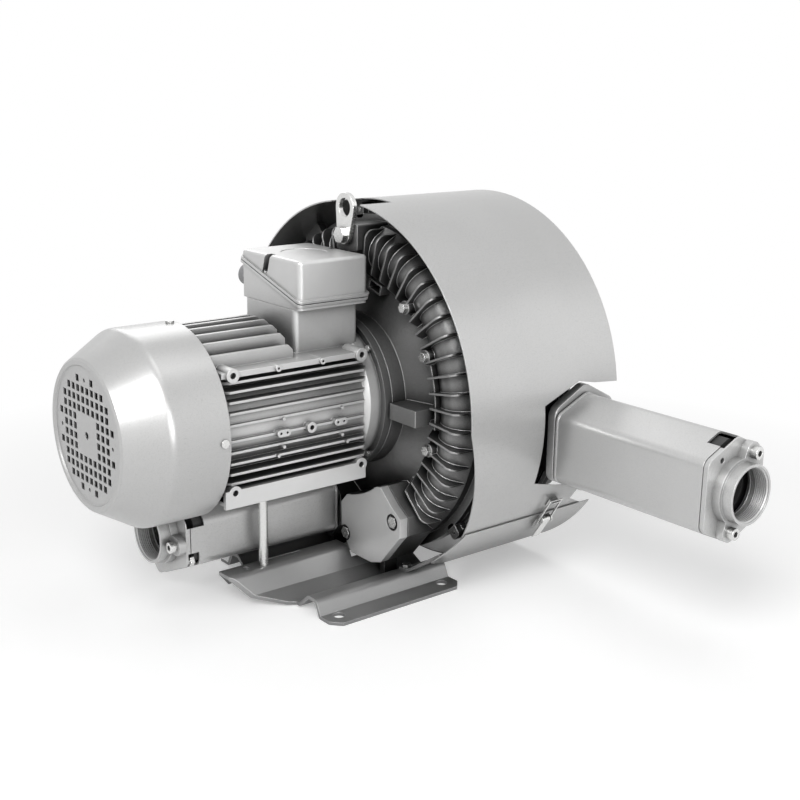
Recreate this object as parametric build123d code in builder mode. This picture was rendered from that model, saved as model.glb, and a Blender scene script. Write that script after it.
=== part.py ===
from build123d import *
from math import atan, cos, radians, sin, sqrt, tan
import os

# Two-stage side channel blower with its motor, silencers and touch guard.
# The origin is the centre of the four foot holes on the mounting plane, in millimetres.
# +X runs along the motor axis from the fan to the blower, +Z is up, and the outlet points to -Y.

# Driving dimensions of the whole machine
axis_height = 232.0
seat_gap = 0.3
running_clearance = 0.05
sheet = 1.5

# Base plate
plate_sheet = 4.0
plate_back = 95.0
plate_front_foot = -95.0
plate_front_middle = -160.0
plate_front_fold = -140.0
foot_spacing_x = 152.0
foot_spacing_y = 217.4
foot_hole_r = 7.0
foot_outer = 128.4
foot_inner = 97.0
foot_corner = 12.0
ridge_height = 17.0
ridge_inner = 76.0
trough_y = 52.0
trough_height = 1.5
trough_flat = 6.0
well_front = 8.0
well_half = 20.5
fold_y = 24.0
fold_height = 12.0
plateau_half = 11.0
plateau_height = 34.0

# Support rod under the motor
rod_x = -108.0
rod_y = -3.5
rod_r = 5.5

# Motor
core_r = 80.0
stator_r = 71.0
spigot_r = 76.0
spigot_depth = 12.0
motor_front = -212.0
neck_x = -14.0
motor_back = 10.6
motor_flange_r = 91.8
motor_flange_t = 10.0
fin_front = -207.0
fin_back = -14.0
side_fin_t = 2.6
side_fin_tip = 84.0
side_fin_angle = 6.0
side_fin_step = 8.96
side_fins_per_half = 5
rail_z = 63.5
rail_t = 6.0
pad_face = 88.4
pad_r = 7.6
pad_hole_r = 3.4
pad_hole_depth = 20.0
pad_front_x = -195.0
pad_back_x = -30.0
skirt_bottom = 77.0
skirt_t = 5.0
fin_end_cut = 14.0
rod_pad_r = 13.0
rod_pad_drop = 84.0
top_fin_envelope = 102.0
top_fin_pitch = 15.5
top_fin_t = 4.0
top_fins_per_half = 4
top_fin_end = -105.0
neck_half_y = 50.0
neck_left = -93.5
neck_right = -7.0
neck_top = 114.0
neck_bottom = 58.0

# Rotor and bearings
shaft_r = 15.0
shaft_stub_r = 14.0
bearing_r = 36.0
bearing_w = 19.0
bearing_back_x = -8.0
stator_length = 105.0
stator_x = -112.5
air_gap = 0.5
rotor_r = 45.0
winding_overhang = 24.0
rotor_shaft_r = 20.0

# Fan and its cowl
cowl_r = 107.0
cowl_rear = -210.0
cowl_bend_x = -275.0
cowl_nose = -320.0
cowl_nose_r = 79.0
cowl_wall = 2.0
grille_pitch = 10.7
grille_hole = 7.3
grille_hub_hole_r = 4.0
cowl_screw_x = -218.0
cowl_screw_r = 4.6
cowl_screw_head = 2.6
cowl_screw_shank_r = 2.0
fan_r = 92.0
fan_width = 30.0
fan_back_x = -234.0
fan_blades = 8

# Terminal box
box_left = -92.5
box_right = 1.0
box_half_y = 58.0
box_top = 168.0
box_corner = 6.0
box_wall = 4.0
seam_mid = 139.0
seam_slope = 0.31
seam_lip = 2.0
seam_lip_t = 3.0
gasket_t = 1.2
cover_disc_r = 26.0
gland_x = -72.0
gland_z = 134.5
gland_r = 16.0
gland_length = 20.0

# Blower casings
channel_mean_r = 170.0
channel_r = 24.0
casing_wall = 6.0
impeller_half = 14.0
stage_1_x = 67.0
stage_2_x = 173.0
casing_flange_r = 203.0
casing_flange_t = 8.0
disc_cavity_half = 16.0
dish_outer_r = 132.0
fin_count = 60
fin_phase = 2.0
casing_fin_t = 2.6
casing_fin_rise = 6.0
casing_bolt_r = 151.0
port_centre_y = 61.0
port_centre_z = 78.0
port_bore_r = 26.0
block_front = 12.0
cover_t = 11.0
port_bolt_y = 45.0
port_bolt_z = 20.0
motor_scallop_r = 126.0
lug_block_half = 20.0
lug_block_top = 196.0
impeller_tip_r = 191.0
blade_count = 42
blade_t = 2.5
hub_r = 29.0

# Lifting lug
lug_x = 8.0
lug_t = 6.0
lug_hole_z = 215.0
lug_outer_r = 17.0
lug_hole_r = 10.5
lug_bolt_z = 183.0

# Silencers
silencer_half_w = 51.5
silencer_half_h = 64.0
silencer_flat_h = 39.0
silencer_flat_w = 25.0
silencer_wall = 2.5
silencer_length = 210.0
collar_r = 32.5
collar_bore_r = 29.8
collar_length = 21.0
port_flange_t = 9.0
flange_bolt_r = 43.0
flange_ear_r = 11.0
gasket_sheet = 1.5
outlet_x = 189.5
outlet_z = 189.0
outlet_root_y = -222.0
inlet_root_x = 10.5
inlet_y = 66.5
inlet_z = 79.0
outlet_bolt_angle = 70.3
inlet_bolt_angle = 86.0

# Touch guard
guard_y = -1.0
guard_z = 228.4
guard_r = 225.0
guard_front = 12.0
guard_rear = 237.0
guard_edge_angle = 147.0
tray_edge_angle = 126.0
tray_front = 30.0
tray_rear = 245.0
notch_half = 28.0
notch_end = 58.0

# Draw latches
latch_x = 168.0
latch_angle = 124.0
ear_y = 6.6
ear_t = 1.2
pivot_x = -12.0
pivot_z = 6.0
pivot_r = 1.5
bail_arm_x = -6.0
bail_arm_z = -1.0
bail_length = 38.0
bail_wire_r = 0.9
bail_half_y = 9.6
lever_length = 30.0

axis = Axis((0, 0, axis_height), (1, 0, 0))


def section(x, turn=0.0):
    """Plane across the motor axis at X = x, with its own origin on the axis."""
    direction = (0, cos(radians(turn)), sin(radians(turn)))
    return Plane(origin=(x, 0, axis_height), x_dir=direction, z_dir=(1, 0, 0))


def wall_plane(y):
    """Upright plane along the motor axis at Y = y, seen from -Y."""
    return Plane(origin=(0, y, axis_height), x_dir=(1, 0, 0), z_dir=(0, -1, 0))


def radial_plane(x, turn, radius=0.0):
    """Plane that faces outwards from the motor axis at X = x and the given angle from +Y."""
    out = (0, cos(radians(turn)), sin(radians(turn)))
    origin = (x, radius * out[1], axis_height + radius * out[2])
    return Plane(origin=origin, x_dir=(1, 0, 0), z_dir=out)


def fin_plane(turn):
    """Plane through the motor axis: local x runs along +X, local y outwards at the given angle."""
    return Plane(origin=(0, 0, axis_height), x_dir=(1, 0, 0), z_dir=(0, -sin(radians(turn)), cos(radians(turn))))


def cross_plane(x):
    """Plane across the machine at X = x with its origin on the mounting plane."""
    return Plane(origin=(x, 0, 0), x_dir=(0, 1, 0), z_dir=(1, 0, 0))


profile_plane = wall_plane(0)
os.makedirs("parts", exist_ok=True)


# Base plate: one bent sheet with two feet, two troughs and a raised middle
with BuildPart() as base_plate:
    with BuildSketch(Plane.YZ.offset(plate_front_middle)):
        with BuildLine():
            half = [
                (foot_outer, 0),
                (foot_inner, 0),
                (foot_inner - 8, ridge_height),
                (ridge_inner, ridge_height),
                (trough_y + trough_flat, trough_height),
                (trough_y - trough_flat, trough_height),
                (fold_y, fold_height),
                (plateau_half, plateau_height),
            ]
            bends = [(-y, z) for y, z in half] + list(reversed(half))
            middle_line = FilletPolyline(*bends, radius=4)
            offset(middle_line, amount=plate_sheet, side=Side.LEFT, closed=True)
        make_face()
    extrude(amount=plate_back - plate_front_middle)
    with BuildSketch(Plane.XY):
        with BuildLine():
            side = [
                (plate_back, foot_outer - foot_corner),
                (plate_back - foot_corner, foot_outer + 1),
                (plate_front_foot + foot_corner, foot_outer + 1),
                (plate_front_foot, foot_outer - foot_corner),
                (plate_front_foot, trough_y),
                (plate_front_fold, fold_y),
                (plate_front_middle, plateau_half),
            ]
            Polyline(*side, *[(x, -y) for x, y in reversed(side)], close=True)
        make_face()
    extrude(amount=plateau_height * 2, mode=Mode.INTERSECT)
    with BuildSketch(Plane.XY):
        with GridLocations(foot_spacing_x, foot_spacing_y, 2, 2):
            Circle(foot_hole_r)
        with Locations((rod_x - 22, 0)):
            Circle(4)
        with Locations((rod_x + 34, plateau_half - 4)):
            SlotOverall(49, 4)
        with Locations(((well_front + plate_back) / 2, 0)):
            Rectangle(plate_back - well_front + 2, 2 * well_half)
    extrude(amount=plateau_height * 2, mode=Mode.SUBTRACT)
base_plate.part.label = "base_plate"
export_step(base_plate.part, "parts/base_plate.step")

plateau_top = plateau_height + plate_sheet
motor_bottom = axis_height - rod_pad_drop

# Support rod: a plain bar with a screwed foot nut
with BuildPart() as support_rod:
    with BuildSketch(Plane.XY.offset(plateau_top)):
        with Locations((rod_x, rod_y)):
            Circle(rod_r)
    extrude(amount=motor_bottom - plateau_top)
support_rod.part.label = "support_rod"
export_step(support_rod.part, "parts/support_rod.step")

# Motor housing: finned tube with pads, skirts and the neck of the terminal box
side_fin_heights = []
for k in range(side_fins_per_half):
    height = (core_r + 2) * sin(radians(side_fin_angle + side_fin_step * k))
    side_fin_heights += [height, -height]

with BuildPart() as motor_housing:
    with BuildSketch(section(fin_front)):
        Circle(core_r)
        for height in side_fin_heights:
            with Locations((0, height)):
                Rectangle(2 * side_fin_tip, side_fin_t)
    extrude(amount=fin_back - fin_front)
    with BuildSketch(Plane.XY.offset(axis_height - core_r)):
        with Locations(*[(x, y) for x in (fin_front, fin_back) for y in (side_fin_tip, -side_fin_tip)]):
            Rectangle(fin_end_cut, fin_end_cut, rotation=45)
    extrude(amount=2 * core_r, mode=Mode.SUBTRACT)
    with BuildSketch(section(fin_front)):
        for z in (rail_z, -rail_z):
            with Locations((0, z)):
                Rectangle(2 * side_fin_tip + 2, rail_t)
        for side in (1, -1):
            with Locations((side * (pad_face - skirt_t / 2), -(rail_z + skirt_bottom) / 2)):
                Rectangle(skirt_t, skirt_bottom - rail_z + rail_t)
        with Locations((0, -(skirt_bottom - 2))):
            Rectangle(2 * pad_face - skirt_t, 4)
    extrude(amount=fin_back - fin_front - 10)
    for side in (1, -1):
        with BuildSketch(wall_plane(side * core_r * 0.75)):
            with Locations(*[(x, z) for x in (pad_front_x, pad_back_x) for z in (rail_z, -rail_z)]):
                Circle(pad_r)
            with Locations(((pad_front_x + pad_back_x) / 2 + 15.5, -8.5)):
                Circle(6)
            with Locations((-133, -8.5), (-58, -8.5)):
                SlotOverall(17, 8)
            with Locations((-139, rail_z), (-82, rail_z)):
                Circle(3.6)
            with Locations((-133, 7), (-56, 7), (-133, -24), (-56, -24), (-140, -33), (-49, -33)):
                Circle(1.8)
        extrude(amount=-side * (pad_face - core_r * 0.75))
    with BuildSketch(Plane.XY.offset(motor_bottom)):
        with Locations((rod_x, 0)):
            Circle(rod_pad_r)
    extrude(amount=rod_pad_drop - stator_r)
    for k in range(-top_fins_per_half, top_fins_per_half + 1):
        y = k * top_fin_pitch
        fin_top = sqrt(top_fin_envelope**2 - y**2)
        with BuildSketch(wall_plane(y)):
            with BuildLine():
                Polyline(
                    (fin_front, 0), (top_fin_end, 0), (top_fin_end, fin_top - 6), (top_fin_end - 6, fin_top),
                    (fin_front, fin_top), close=True,
                )
            make_face()
        extrude(amount=top_fin_t / 2, both=True)
    with BuildSketch(Plane.XY.offset(axis_height + neck_bottom)):
        with Locations(((neck_left + neck_right) / 2, 0)):
            RectangleRounded(neck_right - neck_left, 2 * neck_half_y, box_corner)
    extrude(amount=neck_top - neck_bottom)
    with BuildSketch(profile_plane):
        with BuildLine():
            Polyline(
                (fin_back - 6, 0), (fin_back - 6, core_r), (fin_back, core_r + 4),
                (motor_back - motor_flange_t, core_r + 4), (motor_back - motor_flange_t, motor_flange_r),
                (motor_back, motor_flange_r), (motor_back, 0), close=True,
            )
        make_face()
    revolve(axis=axis)
    with BuildSketch(profile_plane):
        with BuildLine():
            Polyline(
                (motor_front, 0), (motor_front, spigot_r), (motor_front + spigot_depth, spigot_r),
                (motor_front + spigot_depth, stator_r), (-spigot_depth, stator_r), (-spigot_depth, spigot_r),
                (motor_back, spigot_r), (motor_back, 0), close=True,
            )
        make_face()
    revolve(axis=axis, mode=Mode.SUBTRACT)
    for side in (1, -1):
        with BuildSketch(wall_plane(side * pad_face)):
            with Locations(*[(x, z) for x in (pad_front_x, pad_back_x) for z in (rail_z, -rail_z)]):
                Circle(pad_hole_r)
            with Locations(((pad_front_x + pad_back_x) / 2 + 15.5, -8.5)):
                Circle(2.8)
            with Locations((-137, -8.5), (-129, -8.5), (-62, -8.5), (-54, -8.5), (-139, rail_z), (-82, rail_z)):
                Circle(1.4)
        extrude(amount=side * 8, mode=Mode.SUBTRACT)
    with BuildSketch(section(motor_back)):
        with PolarLocations(88, 4, start_angle=45):
            Circle(2)
    extrude(amount=-motor_flange_t, mode=Mode.SUBTRACT)
motor_housing.part.label = "motor_housing"
export_step(motor_housing.part, "parts/motor_housing.step")

# Fan-end shield: bearing seat, spigot and four arms that carry the cowl
shield_t = 6.0
arm_half = 9.0
arm_front = cowl_screw_x - arm_half
bearing_front_x = motor_front + 4
with BuildPart() as fan_end_shield:
    with BuildSketch(profile_plane):
        with BuildLine():
            Polyline(
                (motor_front - shield_t, 0), (motor_front - shield_t, core_r), (motor_front, core_r),
                (motor_front, spigot_r), (motor_front + spigot_depth, spigot_r),
                (motor_front + spigot_depth, bearing_r + 7), (bearing_front_x + bearing_w, bearing_r + 7),
                (bearing_front_x + bearing_w, 0), close=True,
            )
        make_face()
    revolve(axis=axis)
    with BuildSketch(section(arm_front)):
        with PolarLocations(0, 4):
            with Locations((core_r / 2 + cowl_r / 2 - cowl_wall, 0)):
                Rectangle(cowl_r - core_r + 4, 2 * arm_half)
        Circle(cowl_r - cowl_wall, mode=Mode.INTERSECT)
    extrude(amount=motor_front - arm_front)
    with BuildSketch(profile_plane):
        with BuildLine():
            Polyline(
                (bearing_front_x, 0), (bearing_front_x, bearing_r), (bearing_front_x + bearing_w, bearing_r),
                (bearing_front_x + bearing_w, 0), close=True,
            )
        make_face()
    revolve(axis=axis, mode=Mode.SUBTRACT)
    with BuildSketch(section(arm_front)):
        Circle(shaft_r + 0.5)
    extrude(amount=40, mode=Mode.SUBTRACT)
    for turn in range(0, 360, 90):
        with BuildSketch(radial_plane(cowl_screw_x, turn, core_r + 6)):
            Circle(cowl_screw_shank_r)
        extrude(amount=cowl_r - core_r, mode=Mode.SUBTRACT)
fan_end_shield.part.label = "fan_end_shield"
export_step(fan_end_shield.part, "parts/fan_end_shield.step")

# Bearings: sealed ball bearings, each drawn as its outer envelope with a recessed shield
bearing_places = {"fan_end_bearing": bearing_front_x, "drive_end_bearing": bearing_back_x}
for bearing_name, bearing_x in bearing_places.items():
    with BuildPart() as bearing:
        with BuildSketch(profile_plane):
            with Locations((bearing_x + bearing_w / 2, (shaft_r + running_clearance + bearing_r) / 2)):
                Rectangle(bearing_w, bearing_r - shaft_r - running_clearance)
            with Locations((bearing_x, (shaft_r + bearing_r) / 2), (bearing_x + bearing_w, (shaft_r + bearing_r) / 2)):
                Rectangle(2, bearing_r - shaft_r - 9, mode=Mode.SUBTRACT)
        revolve(axis=axis)
    bearing.part.label = bearing_name
    export_step(bearing.part, f"parts/{bearing_name}.step")

# Stator: laminated core and the two winding heads
stator_front = stator_x - stator_length / 2
stator_back = stator_x + stator_length / 2
with BuildPart() as stator_core:
    with BuildSketch(section(stator_front)):
        Circle(stator_r)
        Circle(rotor_r + air_gap, mode=Mode.SUBTRACT)
    extrude(amount=stator_length)
stator_core.part.label = "stator_core"
export_step(stator_core.part, "parts/stator_core.step")

with BuildPart() as stator_windings:
    with BuildSketch(profile_plane):
        for x in (stator_front - winding_overhang / 2, stator_back + winding_overhang / 2):
            with Locations((x, (rotor_r + stator_r) / 2)):
                RectangleRounded(winding_overhang, stator_r - rotor_r - 6, 5)
    revolve(axis=axis)
stator_windings.part.label = "stator_windings"
export_step(stator_windings.part, "parts/stator_windings.step")

# Rotor: shaft with shoulders, core, fan
hub_half = disc_cavity_half - 0.5
nut_length = 10.0
collar_x = 20.0
shaft_front = fan_back_x - fan_width
shaft_rear = stage_2_x + hub_half + nut_length + 3
with BuildPart() as rotor_shaft:
    with BuildSketch(profile_plane):
        with BuildLine():
            Polyline(
                (shaft_front, 0), (shaft_front, shaft_stub_r), (motor_front - shield_t - 4, shaft_stub_r),
                (motor_front - shield_t - 4, shaft_r), (stator_front - winding_overhang, shaft_r),
                (stator_front - winding_overhang, rotor_shaft_r), (stator_back + winding_overhang, rotor_shaft_r),
                (stator_back + winding_overhang, shaft_r), (collar_x, shaft_r), (collar_x, rotor_shaft_r),
                (stage_1_x - hub_half, rotor_shaft_r), (stage_1_x - hub_half, shaft_stub_r),
                (shaft_rear, shaft_stub_r), (shaft_rear, 0), close=True,
            )
        make_face()
    revolve(axis=axis)
rotor_shaft.part.label = "rotor_shaft"
export_step(rotor_shaft.part, "parts/rotor_shaft.step")

with BuildPart() as rotor_core:
    with BuildSketch(section(stator_front)):
        Circle(rotor_r)
        Circle(rotor_shaft_r, mode=Mode.SUBTRACT)
    extrude(amount=stator_length)
rotor_core.part.label = "rotor_core"
export_step(rotor_core.part, "parts/rotor_core.step")

with BuildPart() as cooling_fan:
    with BuildSketch(section(fan_back_x - fan_width)):
        Circle(shaft_stub_r + 8)
        for turn in range(0, 360, 360 // fan_blades):
            with Locations(Location((0, 0), turn)):
                with Locations((fan_r / 2, 0)):
                    Rectangle(fan_r, 3)
        Circle(shaft_stub_r, mode=Mode.SUBTRACT)
    extrude(amount=fan_width)
    with BuildSketch(section(fan_back_x - 4)):
        Circle(fan_r * 0.7)
        Circle(shaft_stub_r, mode=Mode.SUBTRACT)
    extrude(amount=4)
cooling_fan.part.label = "cooling_fan"
export_step(cooling_fan.part, "parts/cooling_fan.step")

# Fan cowl: conical nose with a punched grille, and a plain cylindrical skirt
grille_face = cowl_nose + 2
grille_last = 5
with BuildPart() as fan_cowl:
    with BuildSketch(profile_plane):
        with BuildLine():
            Polyline(
                (grille_face, 0), (grille_face, cowl_nose_r - 6), (cowl_nose, cowl_nose_r - 4.5),
                (cowl_nose, cowl_nose_r), (cowl_nose + 2, cowl_nose_r + 2.5), (cowl_bend_x, cowl_r),
                (cowl_rear, cowl_r), (cowl_rear, cowl_r - cowl_wall), (cowl_bend_x + 0.6, cowl_r - cowl_wall),
                (cowl_nose + 4, cowl_nose_r + 0.5), (grille_face + cowl_wall, cowl_nose_r - 4),
                (grille_face + cowl_wall, 0), close=True,
            )
        make_face()
        bend = [v for v in vertices() if abs(v.X - cowl_bend_x) < 2]
        fillet(bend, radius=14)
    revolve(axis=axis)
    with BuildSketch(section(cowl_nose)):
        for i in range(-grille_last, grille_last + 1):
            for j in range(-grille_last, grille_last + 1):
                reach = max(abs(i), abs(j))
                corner = min(abs(i), abs(j))
                square = 0 < corner and (2 < reach < 5 or reach == 5 and corner < 5) or reach == 6
                if i * j and square:
                    y = (i - 0.5 * (1 if i > 0 else -1)) * grille_pitch
                    z = (j - 0.5 * (1 if j > 0 else -1)) * grille_pitch
                    with Locations((y, z)):
                        Rectangle(grille_hole, grille_hole)
        outer = 5.5 * grille_pitch
        near = 1.5 * grille_pitch
        with Locations(*[(a * near, b * outer) for a in (1, -1) for b in (1, -1)]):
            Rectangle(grille_hole, grille_hole)
        with Locations(*[(a * outer, b * near) for a in (1, -1) for b in (1, -1)]):
            Rectangle(grille_hole, grille_hole)
        with Locations((0, outer), (0, -outer), (outer, 0), (-outer, 0)):
            Circle(2.2)
        Circle(grille_hub_hole_r)
    extrude(amount=8, mode=Mode.SUBTRACT)
    for turn in range(0, 360, 90):
        with BuildSketch(radial_plane(cowl_screw_x, turn, cowl_r - 6)):
            Circle(cowl_screw_shank_r)
        extrude(amount=12, mode=Mode.SUBTRACT)
fan_cowl.part.label = "fan_cowl"
export_step(fan_cowl.part, "parts/fan_cowl.step")

with BuildPart() as cowl_screws:
    for turn in range(0, 360, 90):
        with BuildSketch(radial_plane(cowl_screw_x, turn, cowl_r)):
            Circle(cowl_screw_r)
        extrude(amount=cowl_screw_head)
        with BuildSketch(radial_plane(cowl_screw_x, turn, cowl_r)):
            Circle(cowl_screw_shank_r)
        extrude(amount=-12)
cowl_screws.part.label = "cowl_screws"
export_step(cowl_screws.part, "parts/cowl_screws.step")

# Terminal box: base and lid meet on a sloping seam with a thin gasket between them
box_centre_x = (box_left + box_right) / 2
box_length = box_right - box_left
seam_angle = atan(seam_slope)
seam_stretch = sqrt(1 + seam_slope**2)
box_floor = axis_height + neck_top
boss_length = 12.0
boss_width = 18.0
groove_width = 10.0
groove_depth = 9.0
lid_screw_inset = 4.0
lid_screw_y = 11.5
lid_screw_head_r = 4.2
lid_screw_shank_r = 2.0
lid_screw_xs = [-box_length / 2 + lid_screw_inset, box_length / 2 - lid_screw_inset]


def seam_plane(height):
    """Seam plane of the terminal box, moved along its normal by a height."""
    normal = (0, -sin(seam_angle), cos(seam_angle))
    origin = (box_centre_x, normal[1] * height, axis_height + seam_mid + normal[2] * height)
    return Plane(origin=origin, x_dir=(1, 0, 0), z_dir=normal)


def box_bosses():
    """Inner bosses of the terminal box that take its two lid screws."""
    for side in (1, -1):
        with Locations((side * (box_length - boss_length) / 2, lid_screw_y)):
            Rectangle(boss_length, boss_width)


def box_lip(grow):
    """Ring that stands proud of the terminal box walls along the seam, with its bosses."""
    RectangleRounded(box_length + 2 * grow, (2 * box_half_y + 2 * grow) * seam_stretch, box_corner)
    RectangleRounded(
        box_length - 2 * box_wall, (2 * box_half_y - 2 * box_wall) * seam_stretch, box_corner, mode=Mode.SUBTRACT
    )
    box_bosses()


with BuildPart() as terminal_box_base:
    with BuildSketch(Plane((box_centre_x, 0, box_floor))):
        RectangleRounded(box_length, 2 * box_half_y, box_corner)
    extrude(amount=box_top - neck_top)
    with BuildSketch(Plane((box_centre_x, 0, box_floor + box_wall))):
        RectangleRounded(box_length - 2 * box_wall, 2 * (box_half_y - box_wall), box_corner)
    extrude(amount=box_top, mode=Mode.SUBTRACT)
    with BuildSketch(Plane((box_centre_x, 0, box_floor))):
        box_bosses()
    extrude(amount=box_top - neck_top)
    split(bisect_by=seam_plane(-seam_lip_t), keep=Keep.BOTTOM)
    with BuildSketch(seam_plane(-seam_lip_t)):
        box_lip(seam_lip)
    extrude(amount=seam_lip_t)
    with BuildSketch(seam_plane(0)):
        with Locations(*[(x, lid_screw_y) for x in lid_screw_xs]):
            Circle(lid_screw_shank_r)
    extrude(amount=-10, mode=Mode.SUBTRACT)
    with BuildSketch(wall_plane(box_half_y)):
        with Locations((gland_x, gland_z)):
            Circle(gland_r / 2)
    extrude(amount=box_wall + 1, mode=Mode.SUBTRACT)
terminal_box_base.part.label = "terminal_box_base"
export_step(terminal_box_base.part, "parts/terminal_box_base.step")

with BuildPart() as lid_gasket:
    with BuildSketch(seam_plane(0)):
        box_lip(seam_lip - 0.6)
        with Locations(*[(x, lid_screw_y) for x in lid_screw_xs]):
            Circle(lid_screw_shank_r, mode=Mode.SUBTRACT)
    extrude(amount=gasket_t)
lid_gasket.part.label = "lid_gasket"
export_step(lid_gasket.part, "parts/lid_gasket.step")

with BuildPart() as terminal_box_lid:
    with BuildSketch(Plane((box_centre_x, 0, box_floor))):
        RectangleRounded(box_length, 2 * box_half_y, box_corner)
    extrude(amount=box_top - neck_top)
    top_face = faces().sort_by(Axis.Z)[-1]
    fillet(top_face.edges(), radius=4)
    with BuildSketch(Plane((box_centre_x, 0, box_floor))):
        RectangleRounded(box_length - 2 * box_wall, 2 * (box_half_y - box_wall), box_corner)
    extrude(amount=box_top - neck_top - box_wall, mode=Mode.SUBTRACT)
    with BuildSketch(Plane((box_centre_x, 0, box_floor))):
        box_bosses()
    extrude(amount=box_top - neck_top - box_wall)
    split(bisect_by=seam_plane(gasket_t + seam_lip_t), keep=Keep.TOP)
    with BuildSketch(seam_plane(gasket_t)):
        box_lip(seam_lip)
    extrude(amount=seam_lip_t)
    with BuildSketch(seam_plane(gasket_t + seam_lip_t)):
        for side in (1, -1):
            with Locations((side * box_length / 2, lid_screw_y)):
                Rectangle(2 * groove_depth, groove_width)
    extrude(amount=24, mode=Mode.SUBTRACT)
    with BuildSketch(seam_plane(gasket_t)):
        with Locations(*[(x, lid_screw_y) for x in lid_screw_xs]):
            Circle(lid_screw_shank_r)
    extrude(amount=seam_lip_t, mode=Mode.SUBTRACT)
    with BuildSketch(Plane((box_centre_x, 0, axis_height + box_top))):
        Circle(cover_disc_r)
    extrude(amount=-0.6, mode=Mode.SUBTRACT)
terminal_box_lid.part.label = "terminal_box_lid"
export_step(terminal_box_lid.part, "parts/terminal_box_lid.step")

with BuildPart() as lid_screws:
    with BuildSketch(seam_plane(gasket_t + seam_lip_t)):
        with Locations(*[(x, lid_screw_y) for x in lid_screw_xs]):
            Circle(lid_screw_head_r)
    extrude(amount=3.2)
    with BuildSketch(seam_plane(-8)):
        with Locations(*[(x, lid_screw_y) for x in lid_screw_xs]):
            Circle(lid_screw_shank_r)
    extrude(amount=8 + gasket_t + seam_lip_t)
lid_screws.part.label = "lid_screws"
export_step(lid_screws.part, "parts/lid_screws.step")

with BuildPart() as terminal_block:
    with BuildSketch(Plane((box_centre_x, 0, box_floor + box_wall))):
        Rectangle(50, 34)
    extrude(amount=10)
    with BuildSketch(Plane((box_centre_x, 0, box_floor + box_wall + 10))):
        with Locations((-24, 0), (-8, 0), (8, 0), (24, 0)):
            Rectangle(2, 34)
    extrude(amount=6)
    with BuildSketch(Plane((box_centre_x, 0, box_floor + box_wall + 10))):
        with GridLocations(16, 18, 3, 2):
            Circle(2.5)
    extrude(amount=9)
terminal_block.part.label = "terminal_block"
export_step(terminal_block.part, "parts/terminal_block.step")

with BuildPart() as cable_gland:
    with BuildSketch(wall_plane(box_half_y)):
        with Locations((gland_x, gland_z)):
            RegularPolygon(gland_r, 6)
    extrude(amount=-gland_length * 0.35)
    with BuildSketch(wall_plane(box_half_y)):
        with Locations((gland_x, gland_z)):
            Circle(gland_r * 0.8)
    extrude(amount=-gland_length)
    with BuildSketch(wall_plane(box_half_y)):
        with Locations((gland_x, gland_z)):
            Circle(gland_r / 2)
    extrude(amount=box_wall)
cable_gland.part.label = "cable_gland"
export_step(cable_gland.part, "parts/cable_gland.step")

# Blower casings: three castings round the two impellers
mount_bolt_places = (30.0, 22.0)
flange_bolt_shank_r = 4.0
channel_x = stage_1_x - impeller_half
interrupter_half = 21.0
interrupter_turn_1 = -90.0
interrupter_turn_2 = -138.0
hub_face_r = 92.0
hub_face_back = 30.0
dish_back = 40.0
dish_cut_x = stage_1_x - disc_cavity_half
web_r = channel_mean_r - channel_r
seal_r = 34.0
seal_length = 16.0
bore_clear = 1.0
joint_bolt_r = 209.0
joint_ear_r = 7.5
joint_bolt_shank_r = 3.0
joint_bolt_flats = 10.0
joint_bolt_head = 4.5
joint_turns = [20, 80, 140, 225, 270, 320]
boss_bolt_turns = [155, 131, -163]
fin_turns = [fin_phase + k * 360 / fin_count for k in range(fin_count)]
front_fin_turns = [t for t in fin_turns if not 232 < t < 308 and not 85 < t < 95]


def front_x(x):
    """Place of a section point on the front casing."""
    return x


def rear_x(x):
    """Place of the same section point on the rear casing, which mirrors the front one."""
    return stage_1_x + stage_2_x - x


def end_casing_ring(place):
    """Outer section of an end casing: channel bulge, straight part and joint flange."""
    with Locations((place(channel_x), channel_mean_r)):
        Circle(channel_r + casing_wall)
    with Locations((place((channel_x + stage_1_x) / 2), channel_mean_r)):
        Rectangle(impeller_half, 2 * (channel_r + casing_wall))
    with Locations((place(stage_1_x - casing_flange_t / 2), (web_r + casing_flange_r) / 2)):
        Rectangle(casing_flange_t, casing_flange_r - web_r)
    with Locations((place(stage_1_x + channel_r), channel_mean_r)):
        Rectangle(2 * channel_r, 4 * channel_r, mode=Mode.SUBTRACT)


def joint_ears():
    """Ears of a joint flange that take the casing bolts."""
    for turn in joint_turns:
        with Locations(Location((joint_bolt_r * cos(radians(turn)), joint_bolt_r * sin(radians(turn))), turn)):
            Circle(joint_ear_r)
        with Locations(Location((casing_flange_r * cos(radians(turn)), casing_flange_r * sin(radians(turn))), turn)):
            Rectangle(2 * joint_ear_r, 2 * joint_ear_r)


def stage_space(place):
    """Section of the space that the impeller turns in, on one side of its joint."""
    with Locations((place((channel_x + stage_1_x) / 2), channel_mean_r)):
        Rectangle(impeller_half, 2 * channel_r)
    with Locations((place(stage_1_x - disc_cavity_half / 2), web_r / 2)):
        Rectangle(disc_cavity_half, web_r)
    with Locations((place(channel_x), channel_mean_r)):
        Circle(channel_r)
    with Locations((place(stage_1_x + channel_r), channel_mean_r)):
        Rectangle(2 * channel_r, 4 * channel_r, mode=Mode.SUBTRACT)


def interrupter(turn, x, way):
    """Block that closes one half of a side channel between its outlet and its inlet."""
    with BuildSketch(fin_plane(turn)) as block:
        with Locations((x, channel_mean_r)):
            Circle(channel_r + 1.5)
        with Locations((x + way * channel_r, channel_mean_r)):
            Rectangle(2 * channel_r, 4 * channel_r, mode=Mode.SUBTRACT)
    extrude(block.sketch, amount=interrupter_half, both=True)


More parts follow.
